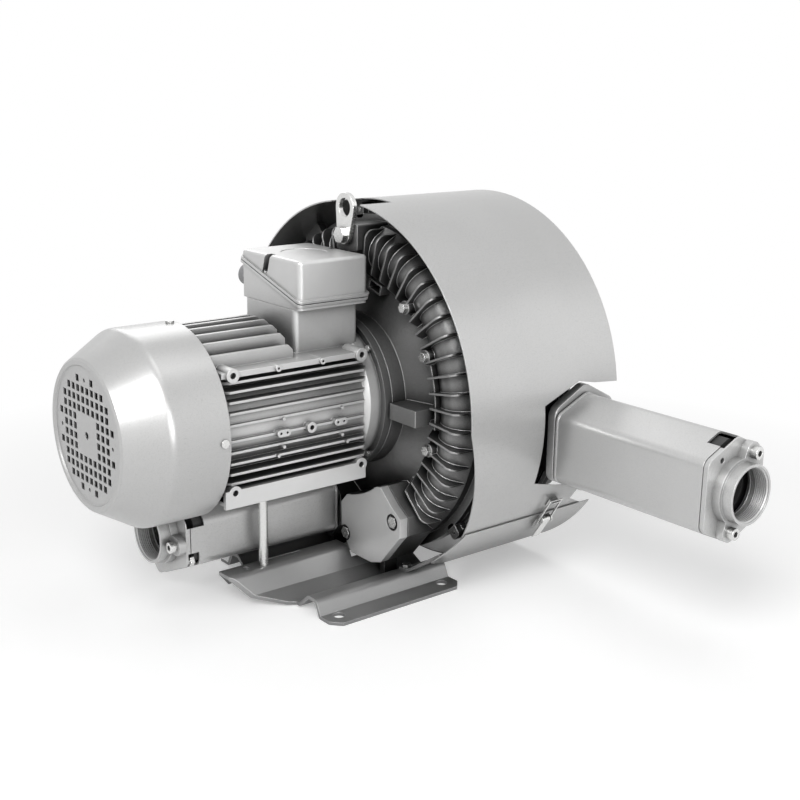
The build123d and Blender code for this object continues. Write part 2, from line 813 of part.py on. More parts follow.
def casing_fin(place):
    """Outline of one radial cooling fin of an end casing."""
    with BuildLine() as outline:
        Polyline(
            (place(45), 128), (place(17), 150), (place(20), 170), (place(38), 194), (place(50), casing_flange_r),
            (place(59), casing_flange_r), (place(59), 150), close=True,
        )
    make_face(outline.edges())


def port_outline(side):
    """Outline of a port block in the cross plane, on the side of +Y (1) or -Y (-1)."""
    mid_y = 50.0
    mid_z = axis_height - sqrt(motor_scallop_r**2 - mid_y**2)
    start_y = 21.0
    start_z = axis_height - sqrt(motor_scallop_r**2 - start_y**2)
    end_y = 77.0
    end_z = axis_height - sqrt(motor_scallop_r**2 - end_y**2)
    with BuildLine() as outline:
        ThreePointArc((side * start_y, start_z), (side * mid_y, mid_z), (side * end_y, end_z))
        Polyline(
            (side * end_y, end_z), (side * 85, 134), (side * 105, 116), (side * 122, 105), (side * 122, 82),
            (side * 116, 76), (side * 87, 42), (side * 69, 36), (side * 29, 36), (side * 20, 48), (side * 10, 57),
            (side * 9, 95), (side * start_y, start_z),
        )
    make_face(outline.edges())


port_bolt_places = [(107.0, 97.5), (17.0, 57.5)]
block_back = 59.0
leg_half = 4.0
leg_front = 30.0
leg_back = 50.0
trough_top = trough_height + plate_sheet
rib_front = 5.0
lug_block_front = 14.0
lug_block_bottom = 165.0

with BuildPart() as front_casing:
    with BuildSketch(profile_plane):
        with BuildLine():
            Polyline(
                (-spigot_depth, 0), (-spigot_depth, spigot_r - running_clearance),
                (motor_back, spigot_r - running_clearance), (motor_back, hub_face_r), (hub_face_back, hub_face_r),
                (dish_back, dish_outer_r), (channel_x, web_r), (stage_1_x, web_r), (stage_1_x, 0), close=True,
            )
        make_face()
        end_casing_ring(front_x)
    revolve(axis=axis)
    with BuildSketch(section(stage_1_x - casing_flange_t)):
        joint_ears()
    extrude(amount=casing_flange_t)
    with BuildSketch(*[fin_plane(turn) for turn in front_fin_turns]):
        casing_fin(front_x)
    extrude(amount=casing_fin_t / 2, both=True)
    for side in (1, -1):
        with BuildSketch(cross_plane(block_front)):
            port_outline(side)
        extrude(amount=block_back - block_front)
        with BuildSketch(cross_plane(leg_front)):
            with Locations((side * trough_y, (trough_top + 45) / 2)):
                Rectangle(2 * leg_half, 45 - trough_top)
        extrude(amount=leg_back - leg_front)
    with BuildSketch(section(rib_front)):
        with Locations((-(94 + 140) / 2, -5.5)):
            Rectangle(140 - 94, 19)
    extrude(amount=35)
    with BuildSketch(section(lug_block_front)):
        with Locations((0, (lug_block_bottom + lug_block_top) / 2)):
            Rectangle(2 * lug_block_half, lug_block_top - lug_block_bottom)
    extrude(amount=block_back - lug_block_front)
    with BuildSketch(section(22)):
        for turn in boss_bolt_turns:
            with Locations((148 * cos(radians(turn)), 148 * sin(radians(turn)))):
                Circle(8)
    extrude(amount=14)
    with BuildSketch(profile_plane):
        stage_space(front_x)
        with Locations(((bearing_back_x + bearing_w - spigot_depth - 1) / 2, bearing_r / 2)):
            Rectangle(bearing_back_x + bearing_w + spigot_depth + 1, bearing_r)
        with Locations((dish_cut_x / 2, (rotor_shaft_r + bore_clear) / 2)):
            Rectangle(dish_cut_x, rotor_shaft_r + bore_clear)
        with Locations((dish_cut_x - seal_length / 2, seal_r / 2)):
            Rectangle(seal_length, seal_r)
    revolve(axis=axis, mode=Mode.SUBTRACT)
    interrupter(interrupter_turn_1, channel_x, 1)
    with BuildSketch(cross_plane(block_front)):
        with Locations((port_centre_y, port_centre_z), (-port_centre_y, port_centre_z)):
            Circle(port_bore_r)
    extrude(amount=channel_x - block_front, mode=Mode.SUBTRACT)
    with BuildSketch(cross_plane(block_front)):
        with Locations(*[(-y, z) for y, z in port_bolt_places]):
            Circle(4)
        with Locations((inlet_y, inlet_z)):
            with GridLocations(2 * mount_bolt_places[1], 2 * mount_bolt_places[0], 2, 2):
                Circle(flange_bolt_shank_r)
    extrude(amount=16, mode=Mode.SUBTRACT)
    with BuildSketch(section(22)):
        for turn in boss_bolt_turns:
            with Locations((148 * cos(radians(turn)), 148 * sin(radians(turn)))):
                Circle(joint_bolt_shank_r)
    extrude(amount=12, mode=Mode.SUBTRACT)
    with BuildSketch(section(stage_1_x)):
        for turn in joint_turns:
            with Locations((joint_bolt_r * cos(radians(turn)), joint_bolt_r * sin(radians(turn)))):
                Circle(joint_bolt_shank_r)
    extrude(amount=-casing_flange_t, mode=Mode.SUBTRACT)
    with BuildSketch(section(motor_back)):
        with PolarLocations(88, 4, start_angle=45):
            Circle(2)
    extrude(amount=12, mode=Mode.SUBTRACT)
    with BuildSketch(section(lug_block_front)):
        with Locations((0, lug_bolt_z)):
            Circle(5)
    extrude(amount=24, mode=Mode.SUBTRACT)
front_casing.part.label = "front_casing"
export_step(front_casing.part, "parts/front_casing.step")

with BuildPart() as middle_casing:
    with BuildSketch(profile_plane):
        for stage, way in ((stage_1_x, 1), (stage_2_x, -1)):
            with Locations((stage + way * impeller_half, channel_mean_r)):
                Circle(channel_r + casing_wall)
            with Locations((stage + way * impeller_half / 2, channel_mean_r)):
                Rectangle(impeller_half, 2 * (channel_r + casing_wall))
            with Locations((stage + way * casing_flange_t / 2, (web_r + casing_flange_r) / 2)):
                Rectangle(casing_flange_t, casing_flange_r - web_r)
            with Locations((stage - way * channel_r, channel_mean_r)):
                Rectangle(2 * channel_r, 4 * channel_r, mode=Mode.SUBTRACT)
            with Locations((stage + way * 14, (web_r + 2) / 2)):
                Rectangle(28, web_r + 2)
        with Locations(((stage_1_x + stage_2_x) / 2, 30)):
            Rectangle(stage_2_x - stage_1_x - 2, 60)
    revolve(axis=axis)
    for x in (stage_1_x, stage_2_x - casing_flange_t):
        with BuildSketch(section(x)):
            joint_ears()
        extrude(amount=casing_flange_t)
    with BuildSketch(*[fin_plane(turn) for turn in range(0, 360, 60)]):
        with Locations(((stage_1_x + stage_2_x) / 2, 110)):
            Rectangle(56, 150)
    extrude(amount=3, both=True)
    with BuildSketch(cross_plane(stage_1_x + 25)):
        with Locations((-port_centre_y, port_centre_z)):
            Circle(port_bore_r + 4)
    extrude(amount=stage_2_x - stage_1_x - 50)
    with BuildSketch(profile_plane):
        for stage, way in ((stage_1_x, 1), (stage_2_x, -1)):
            with Locations((stage + way * impeller_half, channel_mean_r)):
                Circle(channel_r)
            with Locations((stage - way * channel_r, channel_mean_r)):
                Rectangle(2 * channel_r, 4 * channel_r, mode=Mode.SUBTRACT)
            with Locations((stage + way * impeller_half / 2, channel_mean_r)):
                Rectangle(impeller_half, 2 * channel_r)
            with Locations((stage + way * disc_cavity_half / 2, web_r / 2)):
                Rectangle(disc_cavity_half, web_r)
        with Locations(((stage_1_x + stage_2_x) / 2, 11.5)):
            Rectangle(stage_2_x - stage_1_x - 2, 23)
        with Locations((stage_1_x + disc_cavity_half + seal_length / 2, seal_r / 2)):
            Rectangle(seal_length + 2, seal_r)
    revolve(axis=axis, mode=Mode.SUBTRACT)
    interrupter(interrupter_turn_1, stage_1_x + impeller_half, -1)
    interrupter(interrupter_turn_2, stage_2_x - impeller_half, 1)
    with BuildSketch(cross_plane(stage_1_x + impeller_half)):
        with Locations((-port_centre_y, port_centre_z)):
            Circle(channel_r - 1)
    extrude(amount=stage_2_x - stage_1_x - 2 * impeller_half, mode=Mode.SUBTRACT)
    with BuildSketch(section(stage_1_x)):
        for turn in joint_turns:
            with Locations((joint_bolt_r * cos(radians(turn)), joint_bolt_r * sin(radians(turn)))):
                Circle(joint_bolt_shank_r)
    extrude(amount=stage_2_x - stage_1_x, mode=Mode.SUBTRACT)
middle_casing.part.label = "middle_casing"
export_step(middle_casing.part, "parts/middle_casing.step")

nozzle_x = 198.0
nozzle_bore_r = 20.0
plate_y = outlet_root_y + gasket_sheet
plate_t = 11.0
cap_x = 212.0
with BuildPart() as rear_casing:
    with BuildSketch(profile_plane):
        with BuildLine():
            Polyline(
                (stage_2_x, 0), (stage_2_x, web_r), (rear_x(channel_x), web_r), (rear_x(dish_back), dish_outer_r),
                (cap_x - 6, hub_face_r), (cap_x - 6, 50), (cap_x, 45), (cap_x, 0), close=True,
            )
        make_face()
        end_casing_ring(rear_x)
    revolve(axis=axis)
    with BuildSketch(section(stage_2_x)):
        joint_ears()
    extrude(amount=casing_flange_t)
    with BuildSketch(*[fin_plane(turn) for turn in fin_turns if not 176 < turn < 215]):
        casing_fin(rear_x)
    extrude(amount=casing_fin_t / 2, both=True)
    with BuildSketch(wall_plane(plate_y)):
        with Locations((nozzle_x + 2, outlet_z - axis_height)):
            Rectangle(50, 80)
    extrude(amount=-60)
    with BuildSketch(wall_plane(plate_y)):
        with Locations((outlet_x, outlet_z - axis_height)):
            Rectangle(2 * silencer_half_w, 2 * silencer_half_h)
    extrude(amount=-plate_t)
    with BuildSketch(wall_plane(plate_y)):
        with Locations((outlet_x, outlet_z - axis_height)):
            with GridLocations(2 * mount_bolt_places[0], 2 * mount_bolt_places[1], 2, 2):
                Circle(flange_bolt_shank_r)
    extrude(amount=-8, mode=Mode.SUBTRACT)
    with BuildSketch(profile_plane):
        stage_space(rear_x)
        with Locations(((stage_2_x + cap_x - 8) / 2, seal_r / 2)):
            Rectangle(cap_x - 8 - stage_2_x, seal_r)
    revolve(axis=axis, mode=Mode.SUBTRACT)
    interrupter(interrupter_turn_2, rear_x(channel_x), -1)
    with BuildSketch(wall_plane(plate_y)):
        with Locations((nozzle_x, outlet_z - axis_height)):
            Circle(nozzle_bore_r)
    extrude(amount=-(abs(plate_y) - 165), mode=Mode.SUBTRACT)
    with BuildSketch(section(stage_2_x)):
        for turn in joint_turns:
            with Locations((joint_bolt_r * cos(radians(turn)), joint_bolt_r * sin(radians(turn)))):
                Circle(joint_bolt_shank_r)
    extrude(amount=casing_flange_t, mode=Mode.SUBTRACT)
rear_casing.part.label = "rear_casing"
export_step(rear_casing.part, "parts/rear_casing.step")
# Casing fasteners, seals and impellers
def joint_bolt(way):
    """Head of a casing bolt, drawn in the current sketch at every joint position."""
    for turn in joint_turns:
        with Locations(Location((joint_bolt_r * cos(radians(turn)), joint_bolt_r * sin(radians(turn))), turn)):
            RegularPolygon(joint_bolt_flats / 2, 6, major_radius=False)


def joint_shank():
    """Shanks of the casing bolts, drawn in the current sketch at every joint position."""
    for turn in joint_turns:
        with Locations((joint_bolt_r * cos(radians(turn)), joint_bolt_r * sin(radians(turn)))):
            Circle(joint_bolt_shank_r)


with BuildPart() as casing_bolts:
    for x, way in ((stage_1_x, 1), (stage_2_x, 1)):
        with BuildSketch(section(x + way * casing_flange_t)):
            joint_bolt(way)
        extrude(amount=joint_bolt_head)
        with BuildSketch(section(x - casing_flange_t)):
            joint_shank()
        extrude(amount=2 * casing_flange_t)
    with BuildSketch(section(22 - joint_bolt_head)):
        for turn in boss_bolt_turns:
            with Locations((148 * cos(radians(turn)), 148 * sin(radians(turn)))):
                RegularPolygon(joint_bolt_flats / 2, 6, major_radius=False)
    extrude(amount=joint_bolt_head)
    with BuildSketch(section(22)):
        for turn in boss_bolt_turns:
            with Locations((148 * cos(radians(turn)), 148 * sin(radians(turn)))):
                Circle(joint_bolt_shank_r)
    extrude(amount=12)
casing_bolts.part.label = "casing_bolts"
export_step(casing_bolts.part, "parts/casing_bolts.step")

with BuildPart() as motor_flange_bolts:
    with BuildSketch(section(motor_back - motor_flange_t)):
        with PolarLocations(88, 4, start_angle=45):
            Circle(3.6)
    extrude(amount=-4)
    with BuildSketch(section(motor_back - motor_flange_t)):
        with PolarLocations(88, 4, start_angle=45):
            Circle(2)
    extrude(amount=motor_flange_t + 10)
motor_flange_bolts.part.label = "motor_flange_bolts"
export_step(motor_flange_bolts.part, "parts/motor_flange_bolts.step")

with BuildPart() as front_shaft_seal:
    with BuildSketch(section(dish_cut_x - seal_length)):
        Circle(seal_r)
        Circle(rotor_shaft_r + running_clearance, mode=Mode.SUBTRACT)
    extrude(amount=seal_length)
front_shaft_seal.part.label = "front_shaft_seal"
export_step(front_shaft_seal.part, "parts/front_shaft_seal.step")

spacer_r = 22.0
with BuildPart() as middle_shaft_seal:
    with BuildSketch(section(stage_1_x + disc_cavity_half + 1)):
        Circle(seal_r)
        Circle(spacer_r + running_clearance, mode=Mode.SUBTRACT)
    extrude(amount=seal_length)
middle_shaft_seal.part.label = "middle_shaft_seal"
export_step(middle_shaft_seal.part, "parts/middle_shaft_seal.step")

web_half = 4.0
blade_root_r = 148.0
blade_half = impeller_half - 0.5
with BuildPart() as impeller_stage_1:
    with BuildSketch(section(stage_1_x - blade_half)):
        with PolarLocations((blade_root_r + impeller_tip_r) / 2, blade_count):
            Rectangle(impeller_tip_r - blade_root_r, blade_t)
    extrude(amount=2 * blade_half)
    with BuildSketch(profile_plane):
        with Locations((stage_1_x, (hub_r + shaft_stub_r) / 2)):
            Rectangle(2 * hub_half, hub_r - shaft_stub_r)
        with Locations((stage_1_x, (hub_r + blade_root_r) / 2)):
            Rectangle(2 * web_half, blade_root_r - hub_r + 4)
        with Locations((stage_1_x, blade_root_r + 10)):
            Rectangle(web_half, 24)
    revolve(axis=axis)
impeller_stage_1.part.label = "impeller_stage_1"
export_step(impeller_stage_1.part, "parts/impeller_stage_1.step")

with BuildPart() as impeller_stage_2:
    with Locations((stage_2_x - stage_1_x, 0, 0)):
        add(impeller_stage_1.part)
impeller_stage_2.part.label = "impeller_stage_2"
export_step(impeller_stage_2.part, "parts/impeller_stage_2.step")

with BuildPart() as impeller_spacer:
    with BuildSketch(section(stage_1_x + hub_half)):
        Circle(spacer_r)
        Circle(shaft_stub_r, mode=Mode.SUBTRACT)
    extrude(amount=stage_2_x - stage_1_x - 2 * hub_half)
impeller_spacer.part.label = "impeller_spacer"
export_step(impeller_spacer.part, "parts/impeller_spacer.step")

with BuildPart() as impeller_nut:
    with BuildSketch(section(stage_2_x + hub_half)):
        RegularPolygon(hub_r - 5, 6)
        Circle(shaft_stub_r, mode=Mode.SUBTRACT)
    extrude(amount=nut_length)
impeller_nut.part.label = "impeller_nut"
export_step(impeller_nut.part, "parts/impeller_nut.step")

# Lifting lug with its bolt
with BuildPart() as lifting_lug:
    with BuildSketch(cross_plane(lug_x)):
        with BuildLine():
            FilletPolyline(
                (-lug_block_half + 2, axis_height + lug_block_bottom + 4),
                (-lug_block_half + 2, axis_height + lug_block_top - 8),
                (0, axis_height + lug_block_top + 8),
                (lug_block_half - 2, axis_height + lug_block_top - 8),
                (lug_block_half - 2, axis_height + lug_block_bottom + 4), close=True, radius=3,
            )
        make_face()
        with Locations((0, axis_height + lug_hole_z)):
            Circle(lug_outer_r)
        with Locations((0, axis_height + (lug_hole_z + lug_block_top) / 2)):
            Rectangle(2 * lug_outer_r - 6, lug_hole_z - lug_block_top + 4)
        with Locations((0, axis_height + lug_hole_z)):
            Circle(lug_hole_r, mode=Mode.SUBTRACT)
        with Locations((0, axis_height + lug_bolt_z)):
            Circle(5, mode=Mode.SUBTRACT)
    extrude(amount=lug_t)
lifting_lug.part.label = "lifting_lug"
export_step(lifting_lug.part, "parts/lifting_lug.step")

with BuildPart() as lug_bolt:
    with BuildSketch(section(lug_x)):
        with Locations((0, lug_bolt_z)):
            RegularPolygon(8.5, 6, major_radius=False)
    extrude(amount=-6.4)
    with BuildSketch(section(lug_x)):
        with Locations((0, lug_bolt_z)):
            Circle(5)
    extrude(amount=28)
lug_bolt.part.label = "lug_bolt"
export_step(lug_bolt.part, "parts/lug_bolt.step")

# Port cover on the near block
cover_seat = block_front - 1.0
recess_r = 10.0
recess_depth = 5.0
with BuildPart() as port_cover:
    with BuildSketch(cross_plane(cover_seat - cover_t)):
        port_outline(-1)
    extrude(amount=cover_t)
    with BuildSketch(cross_plane(cover_seat - cover_t)):
        with Locations(*[(-y, z) for y, z in port_bolt_places]):
            Circle(recess_r)
    extrude(amount=recess_depth, mode=Mode.SUBTRACT)
    with BuildSketch(cross_plane(cover_seat - cover_t)):
        with Locations(*[(-y, z) for y, z in port_bolt_places]):
            Circle(4)
    extrude(amount=cover_t, mode=Mode.SUBTRACT)
port_cover.part.label = "port_cover"
export_step(port_cover.part, "parts/port_cover.step")

with BuildPart() as port_cover_gasket:
    with BuildSketch(cross_plane(cover_seat)):
        port_outline(-1)
        with Locations(*[(-y, z) for y, z in port_bolt_places]):
            Circle(4, mode=Mode.SUBTRACT)
        with Locations((-port_centre_y, port_centre_z)):
            Circle(port_bore_r, mode=Mode.SUBTRACT)
    extrude(amount=block_front - cover_seat)
port_cover_gasket.part.label = "port_cover_gasket"
export_step(port_cover_gasket.part, "parts/port_cover_gasket.step")

with BuildPart() as port_cover_bolts:
    with BuildSketch(cross_plane(cover_seat - cover_t + recess_depth)):
        with Locations(*[(-y, z) for y, z in port_bolt_places]):
            RegularPolygon(6.5, 6, major_radius=False)
    extrude(amount=-5.3)
    with BuildSketch(cross_plane(cover_seat - cover_t + recess_depth)):
        with Locations(*[(-y, z) for y, z in port_bolt_places]):
            Circle(4)
    extrude(amount=cover_t - recess_depth + 1 + 14)
port_cover_bolts.part.label = "port_cover_bolts"
export_step(port_cover_bolts.part, "parts/port_cover_bolts.step")

# Silencers: octagonal sheet boxes with a foam tube inside and a threaded port flange
inlet_root = Plane(origin=(inlet_root_x, inlet_y, inlet_z), x_dir=(0, 0, 1), z_dir=(-1, 0, 0))
outlet_root = Plane(origin=(outlet_x, outlet_root_y, outlet_z), x_dir=(1, 0, 0), z_dir=(0, -1, 0))
silencers = {"inlet": (inlet_root, inlet_bolt_angle), "outlet": (outlet_root, outlet_bolt_angle)}
foam_gap = 8.0
flange_ring_r = 36.0
flange_bolt_head_r = 6.5


def silencer_octagon(inset=0.0, mode=Mode.ADD):
    """Octagonal section of a silencer, moved inwards by an inset."""
    corner = inset * 0.55
    half = [
        (silencer_half_w - inset, silencer_flat_h - corner),
        (silencer_flat_w - corner, silencer_half_h - inset),
    ]
    upper = half + [(-x, y) for x, y in reversed(half)]
    with BuildLine() as outline:
        Polyline(*upper, *[(x, -y) for x, y in reversed(upper)], close=True)
    make_face(outline.edges(), mode=mode)


mount_bolt_planes = []
for name, (root, bolt_angle) in silencers.items():
    tail = root.offset(silencer_length)
    with BuildPart() as silencer_body:
        with BuildSketch(root):
            silencer_octagon()
        extrude(amount=silencer_length)
        with BuildSketch(root.offset(silencer_wall)):
            silencer_octagon(silencer_wall)
        extrude(amount=silencer_length - 2 * silencer_wall, mode=Mode.SUBTRACT)
        with BuildSketch(root):
            Circle(collar_bore_r)
            with GridLocations(2 * mount_bolt_places[0], 2 * mount_bolt_places[1], 2, 2):
                Circle(flange_bolt_shank_r)
        extrude(amount=silencer_wall, mode=Mode.SUBTRACT)
        with BuildSketch(tail):
            Circle(collar_bore_r)
            with PolarLocations(flange_bolt_r, 2, start_angle=bolt_angle):
                Circle(flange_bolt_shank_r)
        extrude(amount=-silencer_wall, mode=Mode.SUBTRACT)
    silencer_body.part.label = f"{name}_silencer_body"
    export_step(silencer_body.part, f"parts/{name}_silencer_body.step")

    with BuildPart() as silencer_foam:
        with BuildSketch(root.offset(foam_gap)):
            silencer_octagon(silencer_wall)
            Circle(collar_bore_r, mode=Mode.SUBTRACT)
        extrude(amount=silencer_length - 2 * foam_gap)
    silencer_foam.part.label = f"{name}_silencer_foam"
    export_step(silencer_foam.part, f"parts/{name}_silencer_foam.step")

    with BuildPart() as root_gasket:
        with BuildSketch(root):
            silencer_octagon()
            Circle(collar_bore_r, mode=Mode.SUBTRACT)
            with GridLocations(2 * mount_bolt_places[0], 2 * mount_bolt_places[1], 2, 2):
                Circle(flange_bolt_shank_r, mode=Mode.SUBTRACT)
        extrude(amount=-gasket_sheet)
    root_gasket.part.label = f"{name}_gasket"
    export_step(root_gasket.part, f"parts/{name}_gasket.step")

    with BuildPart() as port_flange:
        with BuildSketch(tail):
            Circle(flange_ring_r)
            SlotCenterToCenter(2 * flange_bolt_r, 2 * flange_ear_r, rotation=bolt_angle)
        extrude(amount=port_flange_t)
        with BuildSketch(tail):
            Circle(collar_r)
        extrude(amount=collar_length)
        with BuildSketch(tail):
            Circle(collar_bore_r)
            with PolarLocations(flange_bolt_r, 2, start_angle=bolt_angle):
                Circle(flange_bolt_shank_r)
        extrude(amount=collar_length, mode=Mode.SUBTRACT)
    port_flange.part.label = f"{name}_port_flange"
    export_step(port_flange.part, f"parts/{name}_port_flange.step")

    with BuildPart() as flange_bolts:
        with BuildSketch(tail.offset(port_flange_t)):
            with PolarLocations(flange_bolt_r, 2, start_angle=bolt_angle):
                Circle(flange_bolt_head_r)
                RegularPolygon(3.5, 6, mode=Mode.SUBTRACT)
        extrude(amount=8)
        with BuildSketch(tail.offset(port_flange_t + 3)):
            with PolarLocations(flange_bolt_r, 2, start_angle=bolt_angle):
                Circle(flange_bolt_shank_r)
        extrude(amount=-(port_flange_t + silencer_wall + 6))
    flange_bolts.part.label = f"{name}_flange_bolts"
    export_step(flange_bolts.part, f"parts/{name}_flange_bolts.step")
    mount_bolt_planes.append(root.offset(silencer_wall))

with BuildPart() as silencer_mount_bolts:
    for place in mount_bolt_planes:
        with BuildSketch(place):
            with GridLocations(2 * mount_bolt_places[0], 2 * mount_bolt_places[1], 2, 2):
                RegularPolygon(5, 6)
        extrude(amount=4)
        with BuildSketch(place):
            with GridLocations(2 * mount_bolt_places[0], 2 * mount_bolt_places[1], 2, 2):
                Circle(flange_bolt_shank_r)
        extrude(amount=-10)
silencer_mount_bolts.part.label = "silencer_mount_bolts"
export_step(silencer_mount_bolts.part, "parts/silencer_mount_bolts.step")

# Touch guard: a rolled upper shell and a lower tray that overlaps it
guard_rise = guard_z - axis_height


def guard_wedge(half_angle):
    """Wedge below the guard's centre, with the given half angle from straight down."""
    reach = 2 * guard_r
    edge = reach * tan(radians(half_angle))
    with BuildLine() as outline:
        Polyline(
            (guard_y, guard_rise), (guard_y + edge, guard_rise - reach), (guard_y - edge, guard_rise - reach),
            close=True,
        )
    return outline.edges()


silencer_cut = [
    (123, 148), (120, 243), (175, 263), (200, 258), (242, 254), (242, 90), (204, 108), (210, 128), (164, 137),
]
slope_top = (12.0, 228.0)
slope_foot = (56.5, 40.0)
with BuildPart() as guard_upper_shell:
    with BuildSketch(section(guard_front)):
        with Locations((guard_y, guard_rise)):
            Circle(guard_r)
            Circle(guard_r - sheet, mode=Mode.SUBTRACT)
        make_face(guard_wedge(180 - guard_edge_angle), mode=Mode.SUBTRACT)
    extrude(amount=guard_rear - guard_front)
    with BuildSketch(Plane.XZ):
        with BuildLine():
            Polyline(
                (guard_front - 1, slope_top[1]), slope_top, slope_foot, (slope_foot[0], 0), (guard_front - 1, 0),
                close=True,
            )
        make_face()
    extrude(amount=guard_r + 5, both=True, mode=Mode.SUBTRACT)
    with BuildSketch(Plane.XY.offset(axis_height + 150)):
        with Locations(((guard_front + notch_end) / 2 - 1, 0)):
            Rectangle(notch_end - guard_front + 2, 2 * notch_half)
    extrude(amount=100, mode=Mode.SUBTRACT)
    with BuildSketch(Plane.XZ.offset(120)):
        with BuildLine():
            Polyline(*silencer_cut, close=True)
        make_face()
    extrude(amount=120, mode=Mode.SUBTRACT)
guard_upper_shell.part.label = "guard_upper_shell"
export_step(guard_upper_shell.part, "parts/guard_upper_shell.step")

tray_r = guard_r + seat_gap
tray_slope = [(30.0, 57.8), (45.0, 92.4)]
tray_notch = [(30.0, 143.0), (135.0, 82.0)]
with BuildPart() as guard_lower_tray:
    with BuildSketch(section(tray_front)):
        with Locations((guard_y, guard_rise)):
            Circle(tray_r + sheet)
            Circle(tray_r, mode=Mode.SUBTRACT)
        make_face(guard_wedge(180 - tray_edge_angle), mode=Mode.INTERSECT)
    extrude(amount=tray_rear - tray_front)
    with BuildSketch(Plane.XZ):
        with BuildLine():
            Polyline(
                tray_slope[0], tray_slope[1], (tray_slope[1][0], 120), (tray_slope[0][0] - 5, 120),
                (tray_slope[0][0] - 5, tray_slope[0][1]), close=True,
            )
        make_face()
    extrude(amount=guard_r + 5, both=True, mode=Mode.SUBTRACT)
    with BuildSketch(Plane.XY):
        with BuildLine():
            (x0, y0), (x1, y1) = tray_notch
            Polyline((x0 - 5, -y0), (x0, -y0), (x1, -y1), (x1, y1), (x0, y0), (x0 - 5, y0), close=True)
        make_face()
    extrude(amount=120, mode=Mode.SUBTRACT)
guard_lower_tray.part.label = "guard_lower_tray"
export_step(guard_lower_tray.part, "parts/guard_lower_tray.step")

bracket_turns = [50, 128]
bracket_reach = casing_flange_r + 8
bracket_half = 18.0
with BuildPart() as guard_brackets:
    for x in (stage_1_x - 5, stage_2_x - 5):
        with BuildSketch(section(x)):
            with Locations((guard_y, guard_rise)):
                Circle(guard_r - sheet)
            Circle(casing_flange_r, mode=Mode.SUBTRACT)
            with Locations(*[(bracket_reach * cos(radians(t)), bracket_reach * sin(radians(t))) for t in bracket_turns]):
                Circle(bracket_half, mode=Mode.INTERSECT)
        extrude(amount=10)
guard_brackets.part.label = "guard_brackets"
export_step(guard_brackets.part, "parts/guard_brackets.step")

# Foot brackets: straps from the base plate up to the edge of the lower tray
strap_front = 36.0
strap_back = 50.0
strap_t = 3.0
ridge_top = ridge_height + plate_sheet
with BuildPart() as foot_brackets:
    for side in (1, -1):
        with BuildSketch(cross_plane(strap_front)):
            with BuildLine():
                strap = Polyline(
                    (side * (ridge_inner + 1), ridge_top + strap_t / 2), (side * (ridge_inner + 14), ridge_top + strap_t / 2),
                    (side * 150, 62),
                )
            trace(strap, line_width=strap_t)
            with Locations((guard_y, guard_z)):
                Circle(tray_r, mode=Mode.INTERSECT)
        extrude(amount=strap_back - strap_front)
    with BuildSketch(Plane.XY.offset(ridge_top)):
        with Locations(*[((strap_front + strap_back) / 2, side * (ridge_inner + 7)) for side in (1, -1)]):
            Circle(3)
    extrude(amount=strap_t, mode=Mode.SUBTRACT)
foot_brackets.part.label = "foot_brackets"
export_step(foot_brackets.part, "parts/foot_brackets.step")

with BuildPart() as bracket_bolts:
    with BuildSketch(Plane.XY.offset(ridge_top + strap_t)):
        with Locations(*[((strap_front + strap_back) / 2, side * (ridge_inner + 7)) for side in (1, -1)]):
            RegularPolygon(5, 6, major_radius=False)
    extrude(amount=4)
    with BuildSketch(Plane.XY.offset(ridge_top)):
        with Locations(*[((strap_front + strap_back) / 2, side * (ridge_inner + 7)) for side in (1, -1)]):
            Circle(3)
    extrude(amount=strap_t)
bracket_bolts.part.label = "bracket_bolts"
export_step(bracket_bolts.part, "parts/bracket_bolts.step")

# Draw latches between the tray and the upper shell, one on each side of the guard
latch_pivot = (pivot_x, pivot_z)
bail_pivot = (pivot_x + bail_arm_x, pivot_z + bail_arm_z)
bar_place = (bail_pivot[0] + bail_length, 3.5)
keeper_x = bar_place[0] - 2.0
latch_skin = tray_r + sheet
pin_planes = []


def latch_plane(side, shift):
    """Plane across one latch: local x runs up the surface, local y outwards, shifted along the hinge axis."""
    turn = radians(latch_angle)
    up = (0, -side * cos(turn), sin(turn))
    out = (0, side * sin(turn), cos(turn))
    hinge = Vector(*up).cross(Vector(*out))
    origin = Vector(latch_x, guard_y, guard_z) + Vector(*out) * latch_skin + hinge * shift
    return Plane(origin=origin, x_dir=up, z_dir=hinge)


